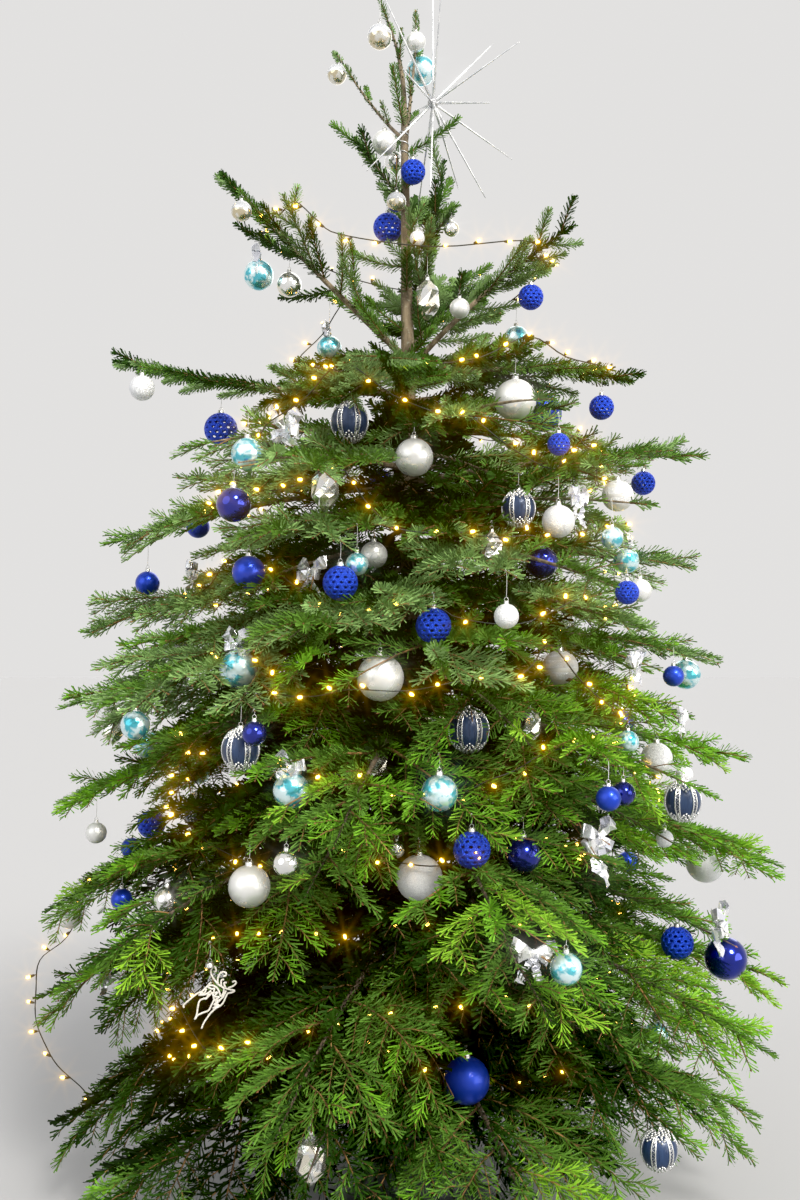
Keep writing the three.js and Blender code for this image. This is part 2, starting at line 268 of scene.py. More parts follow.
def grid_faces(rows: int, columns: int, wrap: bool = True) -> Array:
    """The quads between the points of a grid, whose columns may close on themselves."""
    row = np.arange(rows - 1)[:, None] * columns
    column = np.arange(columns if wrap else columns - 1)[None, :]
    following = (column + 1) % columns
    quads = [row + column, row + following, row + columns + following, row + columns + column]
    return np.stack(quads, axis=-1).reshape(-1, 4)


def revolve(profile: Sequence[Sequence[float]], sides: int) -> Form:
    """A turned form about +Z, closed where its profile starts and ends on the axis.

    Args:
        profile: pairs of radius and height, from the lowest up.
        sides: how many sides it has.

    Returns:
        Its vertices and faces.
    """
    line = np.array(profile, float)
    closed = [line[0, 0] < 1e-6, line[-1, 0] < 1e-6]
    rings = line[int(closed[0]):len(line) - int(closed[1])]
    angle = np.arange(sides) * 2 * pi / sides
    points = np.empty((len(rings), sides, 3))
    points[:, :, 0] = rings[:, :1] * np.cos(angle)
    points[:, :, 1] = rings[:, :1] * np.sin(angle)
    points[:, :, 2] = rings[:, 1:]
    vertices = points.reshape(-1, 3)
    faces = [grid_faces(len(rings), sides)]
    column = np.arange(sides)
    following = (column + 1) % sides
    last = (len(rings) - 1) * sides
    for end, pair in ((0, (following, column)), (-1, (last + column, last + following))):
        if closed[end]:
            faces.append(np.stack([np.full(sides, len(vertices)), *pair], axis=-1))
            vertices = np.vstack([vertices, [0, 0, line[end, 1]]])
    return vertices, faces


def arc(radius: float, rings: int, tall: float = 1.0) -> list[Pair]:
    """The profile of a ball about the origin, which may be taller than it is wide."""
    angles = np.linspace(-pi / 2, pi / 2, rings + 1)
    return [(max(0.0, radius * cos(a)) if 0 < i < rings else 0.0, tall * radius * sin(a))
            for i, a in enumerate(angles)]


def moved(form: Form, place: Array) -> Form:
    """A form at another place."""
    return form[0] + place, form[1]


def axes_along(direction: Array, hint: Array = UP) -> Array:
    """A turn that brings +Z onto a direction and +X as near as it can to a hint."""
    along = unit(direction)
    across = hint - along * float(along @ hint)
    if norm(across) < 1e-3:
        across = np.cross(along, vec(0.3, 1, 0.2))
    across = unit(across)
    return np.stack([across, np.cross(along, across), along], axis=-1)


def tubes(points: Array, radii: Array, over: Array, sides: int, flat: float = 1.0) -> Form:
    """Many tubes at once, each with the same number of points.

    Args:
        points: their centre lines, by tube, point and axis.
        radii: their radii, by tube and point.
        over: for each tube a direction that isn't along it.
        sides: how many sides they have.
        flat: their thickness against their width.

    Returns:
        Vertices and faces, with closed ends.
    """
    count, steps = points.shape[:2]
    along = unit(np.gradient(points, axis=1))
    across = unit(np.cross(np.broadcast_to(over[:, None], along.shape), along))
    face = np.cross(along, across)
    angle = (np.arange(sides) + 0.5) * 2 * pi / sides
    width = np.cos(angle)[None, None, :, None] * across[:, :, None]
    depth = flat * np.sin(angle)[None, None, :, None] * face[:, :, None]
    vertices = points[:, :, None] + radii[:, :, None, None] * (width + depth)
    first = (np.arange(count) * steps * sides)[:, None, None]
    walls = grid_faces(steps, sides)[None] + first
    ring = np.arange(sides)
    ends = np.stack([ring[::-1], ring + (steps - 1) * sides])[None] + first
    return vertices.reshape(-1, 3), [walls.reshape(-1, 4), ends.reshape(-1, sides)]


def tube(path: Array, radius: Any, sides: int = 6, over: Array = UP, flat: float = 1.0) -> Form:
    """One tube along a path, whose radius is a number or an array."""
    radii = np.broadcast_to(np.asarray(radius, float), (len(path),))
    return tubes(path[None], radii[None], np.asarray(over, float)[None], sides, flat)


def band(path: Array, across: Array, width: Any, thickness: float) -> Form:
    """A flat ribbon along a path.

    Args:
        path: its centre line.
        across: the direction of its width at each point.
        width: how wide it is, as a number or one for each point.
        thickness: how thick it is.

    Returns:
        A closed form of four sides.
    """
    along = unit(np.gradient(path, axis=0))
    face = unit(np.cross(along, across))
    side = np.cross(face, along) * np.broadcast_to(width, (len(path),))[:, None] / 2
    lift = face * thickness / 2
    ring = np.stack([path - side - lift, path + side - lift, path + side + lift, path - side + lift], axis=1)
    last = (len(path) - 1) * 4
    ends = np.array([[3, 2, 1, 0], [last, last + 1, last + 2, last + 3]])
    return ring.reshape(-1, 3), [grid_faces(len(path), 4), ends]


# Materials


class Value:
    """A socket of a material. Python's operators on it add the material's Math nodes."""

    def __init__(self, graph: "Graph", socket: bpy.types.NodeSocket) -> None:
        """Wraps an output socket."""
        self.graph = graph
        self.socket = socket

    def __add__(self, other: Any) -> "Value":
        """This value and another one together."""
        return self.graph.math("ADD", self, other)

    def __mul__(self, other: Any) -> "Value":
        """This value times another one."""
        return self.graph.math("MULTIPLY", self, other)

    def __sub__(self, other: Any) -> "Value":
        """This value less another one."""
        return self.graph.math("SUBTRACT", self, other)

    def __rsub__(self, other: Any) -> "Value":
        """Another value less this one."""
        return self.graph.math("SUBTRACT", other, self)

    def __pow__(self, other: Any) -> "Value":
        """This value to a power."""
        return self.graph.math("POWER", self, other)

    __radd__ = __add__
    __rmul__ = __mul__

    def between(self, low: float, high: float) -> "Value":
        """A smooth step, from 0 at low to 1 at high."""
        return self.graph.node("ShaderNodeMapRange", {"Value": self, "From Min": low, "From Max": high},
                               interpolation_type="SMOOTHSTEP")


class Graph:
    """The node tree of one material."""

    def __init__(self, name: str) -> None:
        """Makes a material with a plain surface shader."""
        self.material = bpy.data.materials.new(name)
        self.material.use_nodes = True
        self.nodes = self.material.node_tree.nodes
        self.shader = self.nodes["Principled BSDF"]

    def node(self, kind: str, sockets: dict[Any, Any], output: Any = 0, **settings: Any) -> Value:
        """Adds a node.

        Args:
            kind: the node's type.
            sockets: the values or links of its inputs, by name or number.
            output: the name or number of the output that is wanted.
            settings: its own settings, which are set first.

        Returns:
            The output's value.
        """
        node = self.nodes.new(kind)
        for key, setting in settings.items():
            setattr(node, key, setting)
        for key, given in sockets.items():
            self.feed(node.inputs[key], given)
        return Value(self, node.outputs[output])

    def feed(self, socket: bpy.types.NodeSocket, given: Any) -> None:
        """Links a value to a socket, or sets the socket to a constant."""
        if isinstance(given, Value):
            self.material.node_tree.links.new(given.socket, socket)
        elif isinstance(given, tuple) and len(given) == 3 and socket.type == "RGBA":
            socket.default_value = (*given, 1.0)
        else:
            socket.default_value = given

    def math(self, operation: str, a: Any, b: Any) -> Value:
        """A Math node on two numbers or values."""
        return self.node("ShaderNodeMath", {0: a, 1: b}, operation=operation)

    def blend(self, share: Any, a: Any, b: Any) -> Value:
        """A colour between two colours."""
        return self.node("ShaderNodeMix", {0: share, 6: a, 7: b}, 2, data_type="RGBA")

    def place(self, stretch: Triple = (1.0, 1.0, 1.0)) -> Value:
        """The point on the object, in metres, stretched along its axes."""
        where = self.node("ShaderNodeTexCoord", {}, "Object")
        return self.node("ShaderNodeVectorMath", {0: where, 1: stretch}, operation="MULTIPLY")

    def noise(self, scale: float, detail: float = 3.0, stretch: Triple = (1.0, 1.0, 1.0),
              warp: float = 0.0) -> Value:
        """A soft noise from 0 to 1, of so many cells a metre."""
        return self.node("ShaderNodeTexNoise", {"Vector": self.place(stretch), "Scale": scale,
                                                "Detail": detail, "Distortion": warp})

    def cells(self, scale: float) -> Value:
        """How far each point is from the middle of its cell, with so many cells a metre."""
        return self.node("ShaderNodeTexVoronoi", {"Vector": self.place(), "Scale": scale}, "Distance")

    def bump(self, height: Value, depth: float) -> Value:
        """A relief of so many millimetres."""
        return self.node("ShaderNodeBump", {"Height": height, "Distance": depth * MM, "Strength": 1.0})

    def surface(self, **sockets: Any) -> Material:
        """Feeds the shader, with spaces of its socket names as underscores, and gives the material."""
        for key, given in sockets.items():
            self.feed(self.shader.inputs[key.replace("_", " ")], given)
        return self.material


@dataclass(frozen=True)
class Bark:
    """Bark: grey-brown plates at the butt, smooth and paler towards the top."""

    name: str
    butt: Colour = (0.11, 0.075, 0.046)
    top: Colour = (0.26, 0.2, 0.125)
    change: Pair = (0.5, 1.7)
    fleck: float = 190
    relief: float = 1.6

    def material(self) -> Material:
        """Makes the material."""
        graph = Graph(self.name)
        height = graph.node("ShaderNodeSeparateXYZ", {0: graph.place()}, 2).between(*self.change)
        plates = graph.noise(60, 5, (1, 1, 0.35), 0.4)
        flecks = graph.noise(self.fleck, 2)
        colour = graph.blend(height, self.butt, self.top)
        # The grooves between the plates are darker: partly the bark's own darker fissures, partly painted
        # shade in the recesses.
        fissure_tone_and_shade = graph.blend(height, (0.045, 0.032, 0.02), (0.105, 0.078, 0.045))
        shaded = graph.blend(plates.between(0.38, 0.62), fissure_tone_and_shade, colour)
        lichen = graph.blend(flecks.between(0.56, 0.7) * 0.5, shaded, (0.33, 0.33, 0.25))
        return graph.surface(Base_Color=lichen, Roughness=0.9 - 0.15 * flecks,
                             Normal=graph.bump(plates + 0.4 * flecks, self.relief))


@dataclass(frozen=True)
class Leafage:
    """Needles of one green. Their colour is plain, and each spray takes one."""

    name: str
    colour: Colour
    roughness: float = 0.55
    gloss: float = 0.14

    def material(self) -> Material:
        """Makes the material."""
        graph = Graph(self.name)
        wax = graph.noise(45, 2)
        return graph.surface(Base_Color=self.colour, Roughness=self.roughness - 0.06 + 0.12 * wax,
                             Specular_IOR_Level=self.gloss)


@dataclass(frozen=True)
class TwigWood:
    """The tan wood of twigs."""

    name: str
    pale: Colour = (0.3, 0.16, 0.05)
    dark: Colour = (0.13, 0.07, 0.025)

    def material(self) -> Material:
        """Makes the material."""
        graph = Graph(self.name)
        patches = graph.noise(30, 3)
        return graph.surface(Base_Color=graph.blend(patches.between(0.35, 0.65), self.dark, self.pale),
                             Roughness=0.8, Normal=graph.bump(graph.noise(500, 2), 0.3))


@dataclass(frozen=True)
class Metal:
    """A metal or lacquer skin, with faint mottling."""

    name: str
    colour: Colour
    second: Optional[Colour] = None
    metallic: float = 1
    roughness: float = 0.2
    scale: float = 40
    edge: Pair = (0.45, 0.55)
    relief: float = 0
    coat: float = 0

    def material(self) -> Material:
        """Makes the material."""
        graph = Graph(self.name)
        patches = graph.noise(self.scale, 4, warp=0.3).between(*self.edge)
        second = self.second or tuple(0.86 * part for part in self.colour)
        sockets = {"Base_Color": graph.blend(patches, self.colour, second), "Metallic": self.metallic,
                   "Roughness": self.roughness + 0.12 * patches, "Coat_Weight": self.coat}
        if self.relief:
            sockets["Normal"] = graph.bump(graph.noise(self.scale * 3, 3), self.relief)
        return graph.surface(**sockets)


@dataclass(frozen=True)
class Glitter:
    """Glitter: tiny flakes that each catch the light their own way, with painted glints: random spots of a
    brighter colour in the base colour.
    """

    name: str
    colour: Colour
    bright: Colour
    flake: float = 900
    depth: float = 1.2
    metallic: float = 0.8

    def material(self) -> Material:
        """Makes the material."""
        graph = Graph(self.name)
        flakes = graph.cells(self.flake)
        # Painted glints: random spots where the base colour turns to the brighter colour.
        painted_glint = graph.noise(self.flake * 1.7, 0).between(0.56, 0.68)
        return graph.surface(Base_Color=graph.blend(painted_glint, self.colour, self.bright), Metallic=self.metallic,
                             Roughness=0.28 + 0.25 * flakes, Normal=graph.bump(flakes, self.depth))


@dataclass(frozen=True)
class Satin:
    """Satin thread wound from pole to pole, with painted sheen: paler streaks along the threads."""

    name: str
    colour: Colour
    sheen: Colour

    def material(self) -> Material:
        """Makes the material."""
        graph = Graph(self.name)
        threads = graph.noise(260, 2, (1, 1, 0.08))
        # Painted sheen: the threads' streaks turn the colour towards the paler sheen colour; the same noise
        # sets roughness and relief.
        return graph.surface(Base_Color=graph.blend(threads, self.colour, self.sheen), Metallic=0.15,
                             Roughness=0.22 + 0.15 * threads, Normal=graph.bump(threads, 0.5))


@dataclass(frozen=True)
class Moulding:
    """Moulded plastic with a fine grain."""

    name: str
    colour: Colour
    roughness: float = 0.45
    grain: float = 0.15

    def material(self) -> Material:
        """Makes the material."""
        graph = Graph(self.name)
        grain = graph.noise(900, 2)
        scuffs = graph.noise(14, 5, warp=0.6).between(0.5, 0.75)
        worn = tuple(min(1.0, part * 1.7 + 0.01) for part in self.colour)
        return graph.surface(Base_Color=graph.blend(scuffs * 0.5, self.colour, worn),
                             Roughness=self.roughness + 0.2 * scuffs, Normal=graph.bump(grain, self.grain))


@dataclass(frozen=True)
class ClearGlass:
    """Thin clear glass or crystal."""

    name: str
    colour: Colour = (0.74, 0.76, 0.8)
    transmission: float = 0.55

    def material(self) -> Material:
        """Makes the material."""
        graph = Graph(self.name)
        smear = graph.noise(60, 2)
        return graph.surface(Base_Color=self.colour, Roughness=0.02 + 0.08 * smear, IOR=1.25,
                             Transmission_Weight=self.transmission)


@dataclass(frozen=True)
class Glow:
    """A lit lamp, whose glow changes a little from one spot to the next."""

    name: str
    colour: Colour = (1.0, 0.52, 0.06)
    strength: float = 15

    def material(self) -> Material:
        """Makes the material."""
        graph = Graph(self.name)
        flicker = graph.noise(25, 1)
        return graph.surface(Base_Color=(0.9, 0.7, 0.35), Roughness=0.25,
                             Emission_Color=graph.blend(flicker, self.colour, (1.0, 0.6, 0.11)),
                             Emission_Strength=self.strength)


# Trunk and limbs, by the rule of the solids


@dataclass
class TrunkShape:
    """The trunk's line and taper."""

    foot: float = 26.3
    top: float = 2205
    taper_height: float = 2414
    butt_radius: float = 38
    tip_radius: float = 3
    flare: float = 7
    flare_height: float = 55
    lean_height: float = 2150
    lean: float = -31

    def radius(self, height: Any) -> Any:
        """The radius at a height."""
        taper = mix(self.butt_radius, self.tip_radius, height / self.taper_height)
        return taper + self.flare * np.exp(-height / self.flare_height)

    def axis(self, height: float) -> Array:
        """The middle of the trunk at a height."""
        return vec(self.lean * height / self.lean_height, 0, height)


@dataclass(frozen=True)
class Tier:
    """A whorl of boughs: how far out and how high the tips are that set its outline."""

    root: float
    left: Pair
    right: Pair
    back: int
    front: int
    turn: float
    arch: float

    def tip_at(self, azimuth: float) -> tuple[float, float]:
        """How far out and how high its tips are at an azimuth."""
        share = (1 - cos(radians(azimuth))) / 2
        return mix(self.right[0], self.left[0], share), mix(self.right[1], self.left[1], share)


@dataclass(frozen=True)
class Single:
    """A single bough. share is the part of its length that is a bare bough of its own."""

    name: str
    azimuth: float
    root: float
    reach: float
    tip: float
    arch: float
    share: float = 0


TIERS = (
    Tier(335, (724, 138), (660, 168), 2, 2, -22, 44),
    Tier(565, (762, 385), (704, 432), 2, 2, 23, 40),
    Tier(780, (742, 560), (708, 655), 2, 2, -21, 36),
    Tier(965, (720, 775), (640, 862), 2, 2, 24, 30),
    Tier(1130, (727, 962), (592, 1064), 1, 2, -24, 24),
    Tier(1285, (700, 1118), (545, 1245), 1, 1, 26, 20),
    Tier(1432, (630, 1290), (566, 1470), 1, 1, -32, 18),
)
TOP_BOUGHS = (
    Single("long_left", 181, 1608, 616, 1668, -24, 0.44),
    Single("long_right", -4, 1622, 428, 1622, 30, 0.42),
    Single("long_front", 262, 1590, 500, 1560, 14),
    Single("long_back", 84, 1596, 540, 1580, 12),
    Single("steep_left", 193, 1672, 402, 2022, -8, 0.48),
    Single("steep_right", 336, 1650, 322, 1902, 20, 0.42),
    Single("steep_back", 70, 1690, 360, 1960, -6),
    Single("upright_right", 352, 1752, 50, 2078, -60),
    Single("upper_left", 205, 1988, 142, 2104, 4),
    Single("upper_back", 92, 1925, 180, 2076, 8),
    Single("leader_left", 184, 2128, 170, 2304, -14),
    Single("leader_right", 352, 2100, -1, 2382, 0),
)
TRUNK = TrunkShape()


class Limb:
    """A limb's curve, from the trunk's axis to its tip, with its taper."""

    root_share = 0.0088
    root_base = 2.4
    tip_radius = 2.6
    measured = 200

    def __init__(self, name: str, start: Array, middle: Array, end: Array, level: Array,
                 share: float = 0.0, root_radius: Optional[float] = None) -> None:
        """Sets a limb out.

        Args:
            name: the name of its mass.
            start: its root.
            middle: the point that draws its curve.
            end: its tip.
            level: the level direction across it.
            share: the part of it that is a bough of its own.
            root_radius: its radius at the root, where that isn't worked out from its length.
        """
        self.name, self.share, self.level = name, share, level
        self.start, self.middle, self.end = start, middle, end
        steps = self.point(np.linspace(0, 1, self.measured + 1))
        self.length = path_length(steps)
        self.root_radius = root_radius or self.root_base + self.root_share * self.length

    @classmethod
    def single(cls, spec: Single) -> "Limb":
        """The limb of a single bough."""
        way = level_way(radians(spec.azimuth))
        start = TRUNK.axis(spec.root)
        end = spec.reach * way + UP * spec.tip
        middle = (start + end) / 2 + UP * 2 * spec.arch
        return cls(spec.name, start, middle, end, quarter_on(way), spec.share)

    def point(self, share: Any) -> Array:
        """The point, or points, at a share of the curve."""
        t = np.asarray(share, float)[..., None]
        return (1 - t) ** 2 * self.start + 2 * t * (1 - t) * self.middle + t ** 2 * self.end

    def radius(self, share: Any) -> Any:
        """The radius at a share of the length."""
        return mix(self.root_radius, self.tip_radius, share)

    def axes(self, share: float) -> tuple[Array, Array, Array]:
        """The directions along, across and over the limb."""
        along = unit((1 - share) * (self.middle - self.start) + share * (self.end - self.middle))
        across = square_to(along, self.level)
        return along, across, np.cross(along, across)


@dataclass
class Whorls:
    """All limbs of the crown, with the ones that its solids leave out between whorls."""

    sway: float = 7
    stagger: float = 14
    seed: int = 101
    leader_reach: float = 79
    leader_tip: float = 2414
    seat_gap: float = 0.3
    between_reach: float = 0.86
    inner_count: int = 104
    inner_heights: Pair = (240.0, 1700.0)
    inner_crowding: float = 1.25
    inner_reach: Pair = (0.45, 0.68)
    inner_start: float = 25
    inner_tips: Pair = (-130.0, 45.5)
    inner_arch: float = 0.6
    golden_angle: ClassVar[float] = 137.5
    tiers: ClassVar[tuple[Tier, ...]] = (*TIERS, Tier(1606, (560, 1560), (450, 1600), 2, 2, 10, 12))

    def tier_specs(self, tier: Tier, number: int) -> list[Single]:
        """The boughs of one whorl, spread evenly between the two sides that set its outline.

        Args:
            tier: the whorl.
            number: which one it is, with 1 as the lowest.

        Returns:
            Its boughs, from the right one round the back.
        """
        random = Seeded(self.seed + number)
        back = ["back_right", "back_left"] if tier.back > 1 else ["back"]
        front = ["front_left", "front_right"] if tier.front > 1 else ["front"]
        specs: list[Single] = []
        for half, labels in enumerate((["right", *back], ["left", *front])):
            for step, label in enumerate(labels):
                even = 180 * half + 180 * step / len(labels)
                bent = tier.turn * abs(sin(radians(even)))
                azimuth = even + bent + self.sway * (2 * random.number() - 1)
                root = tier.root + self.stagger * (1 if len(specs) % 2 else -1)
                specs.append(Single(f"tier_{number}_{label}", azimuth, root, *tier.tip_at(even), tier.arch))
        return specs

    @staticmethod
    def reach_at(azimuth: float, height: float) -> tuple[float, float]:
        """How far out the whorls reach at a height of their roots, and how steeply they rise or fall."""
        roots = [tier.root for tier in Whorls.tiers]
        tips = [tier.tip_at(azimuth) for tier in Whorls.tiers]
        rise = [(tip - root) / out for root, (out, tip) in zip(roots, tips)]
        reach = [out for out, _ in tips]
        return float(np.interp(height, roots, reach)), float(np.interp(height, roots, rise))

    def middle_leader(self) -> Limb:
        """The leader that goes on from the trunk's top."""
        start = TRUNK.axis(TRUNK.top + self.seat_gap)
        end = vec(-self.leader_reach, 0, self.leader_tip)
        middle = vec(start[0], 0, (start[2] + end[2]) / 2)
        return Limb("leader_middle", start, middle, end, vec(0, 1, 0), 0, float(TRUNK.radius(TRUNK.top)))

    def whorl_boughs(self) -> list[Single]:
        """The boughs of all whorls that have solids."""
        return [spec for i, tier in enumerate(TIERS) for spec in self.tier_specs(tier, i + 1)]

    def limbs(self) -> list[Limb]:
        """The limbs that have solids, in the order that their seeds follow."""
        return [Limb.single(spec) for spec in (*self.whorl_boughs(), *TOP_BOUGHS)] + [self.middle_leader()]

    def between(self) -> list[Limb]:
        """Shorter boughs that stand in the gaps of each whorl, half way up to the next one."""
        limbs = []
        for i, (tier, above) in enumerate(zip(self.tiers, self.tiers[1:])):
            specs, upper = self.tier_specs(tier, i + 1), self.tier_specs(above, i + 2)
            for spec, following in zip(specs, specs[1:] + specs[:1]):
                azimuth = spec.azimuth + (following.azimuth - spec.azimuth) % 360 / 2
                near = min(upper, key=lambda other: apart(other.azimuth, azimuth))
                reach = self.between_reach * mix(mix(spec.reach, following.reach, 0.5), near.reach, 0.5)
                tip = mix(mix(spec.tip, following.tip, 0.5), near.tip, 0.5)
                root = mix(tier.root, above.root, 0.5)
                limbs.append(Limb.single(replace(spec, azimuth=azimuth, root=root, reach=reach, tip=tip)))
        return limbs

    def inner(self) -> list[Limb]:
        """Short boughs in the shade round the trunk, turned from one to the next by a golden angle."""
        random = Seeded(self.seed + 50)
        outer = self.whorl_boughs()
        limbs = []
        for number in range(self.inner_count):
            root = mix(*self.inner_heights, ((number + 0.5) / self.inner_count) ** self.inner_crowding)
            azimuth = (self.golden_angle * number + self.inner_start) % 360
            reach, rise = self.reach_at(azimuth, root)
            reach *= mix(*self.inner_reach, random.number())
            near = min(outer, key=lambda other: abs(other.root - root) + 2 * apart(other.azimuth, azimuth))
            tip = root + rise * reach + mix(*self.inner_tips, random.number())
            arch = near.arch * self.inner_arch
            limbs.append(Limb.single(Single(near.name, azimuth, root, reach, tip, arch)))
        return limbs


# Twigs


class Green(Enum):
    """The greens that sprays of needles take, from the darkest. SHADE and DEEP are mostly painted shade for
    sprays deep in the crown, along with the darker tone of older needles there.
    """

    SHADE = "shade"
    DEEP = "deep"
    BLUE = "blue"
    MID = "mid"
    FROST = "frost"
    FRESH = "fresh"
    LIME = "lime"


# SHADE and DEEP are mostly painted shade inside the crown; FRESH and LIME are partly painted light on the
# outermost lower sprays.
GREENS = {
    Green.SHADE: Leafage("needles_shade", (0.006, 0.017, 0.0025), 0.6, 0.08),
    Green.DEEP: Leafage("needles_deep", (0.022, 0.065, 0.006), 0.6, 0.1),
    Green.BLUE: Leafage("needles_blue", (0.15, 0.255, 0.08)),
    Green.MID: Leafage("needles_mid", (0.095, 0.21, 0.026)),
    Green.FROST: Leafage("needles_frost", (0.22, 0.37, 0.115)),
    Green.FRESH: Leafage("needles_fresh", (0.145, 0.35, 0.02)),
    Green.LIME: Leafage("needles_lime", (0.23, 0.45, 0.03)),
}


# Tip twigs may take the next paler green: partly the paler tone of young needles, partly painted light on
# the spray tips.
PALER = {
    Green.SHADE: Green.DEEP, Green.DEEP: Green.MID, Green.BLUE: Green.FROST,
    Green.MID: Green.FRESH, Green.FRESH: Green.LIME, Green.LIME: Green.LIME, Green.FROST: Green.FROST,
}


@dataclass
class Twig:
    """One shoot: its line, its taper, and what its needles are like."""

    points: Array
    over: Array
    radii: Pair
    mass: str
    order: int
    green: Green = Green.MID
    bare: float = 0
    dense: float = 1
    needle: float = 0.86
    wrap: float = 0
    parent: Optional["Twig"] = None
    kept: bool = True
    fixed: bool = False

    @property
    def length(self) -> float:
        """Its length."""
        return path_length(self.points)

    def at(self, share: float) -> tuple[Array, Array]:
        """Its point and direction at a share of its steps."""
        where = share * (len(self.points) - 1)
        step = min(int(where), len(self.points) - 2)
        here, there = self.points[step], self.points[step + 1]
        return mix(here, there, where - step), unit(there - here)


@dataclass
class TwigRule:
    """How twigs branch: the rule of the solids' sprays at a closer spacing, and its finer twigs.

    The first fields are of side twigs. Fine twigs stand on these, upper ones rise from a limb, open ones
    grow on the limbs of the open top, and shoots on bare wood. Lengths and shares in pairs are limits.
    """

    seed: int = 700
    spacing: float = 118
    shares: Pair = (0.17, 0.92)
    lone_share: float = 0.6
    offset: float = 0.5
    length_share: float = 0.62
    least_length: float = 48
    luck: Pair = (0.85, 1.1)
    longest_at: float = 0.35
    fullness: float = 0.8
    angle: float = 50
    angle_sway: float = 8
    pitch_sway: float = 17
    roll_sway: float = 32
    step: float = 60
    side_radius: float = 2
    thicker: float = 0.004
    end_radius: float = 0.95
    forward: float = 0.16
    bend: float = 0.24
    least_bend: float = 0.04
    lift: float = 0.5
    lift_height: float = 1650
    stem_step: float = 45
    stem_bare: float = 0.24
    stem_end: float = 1.1
    stem_dense: float = 1.4
    fine_spacing: float = 46
    fine_angle: float = 48
    fine_share: float = 0.46
    fine_lengths: Pair = (44.0, 98.0)
    fine_luck: Pair = (0.8, 1.15)
    fine_radius: float = 1.3
    fine_roll: float = 0.35
    fine_margin: float = 30
    paler_tips: float = 0.55
    frost_above: float = 1100
    fresh_below: float = 1080
    sunny_right: float = 0.16
    upper_spacing: float = 58
    upper_lengths: Pair = (60.0, 110.0)
    upper_from: float = 500
    upper_shares: Pair = (0.26, 0.9)
    upper_angle: float = 38
    open_above: float = 1585
    open_spacing: float = 50
    open_angle: float = 47
    open_share: float = 0.44
    open_lengths: Pair = (62.0, 165.0)
    level_lengths: Pair = (62.0, 112.0)
    open_fine_from: float = 118
    open_dense: float = 2.5
    open_needle: float = 0.7
    leader_shoots: int = 2
    leader_lengths: Pair = (26.0, 46.0)
    leader_dense: float = 1.1
    leader_needles: Pair = (0.3, 0.42)
    shoot_step: float = 34
    shoot_lengths: Pair = (45.0, 105.0)
    shoot_angle: float = 52
    steep_more: float = 1.7
    steep_longer: float = 1.35
    trunk_shoots: int = 22
    trunk_longer: float = 1.15
    trunk_rise: float = 26
    trunk_start: float = 250
    trunk_high: float = 2170
    trunk_low: float = 380
    trunk_low_shoots: int = 92
    trunk_low_lengths: Pair = (90.0, 190.0)
    deep_chance: float = 0.6


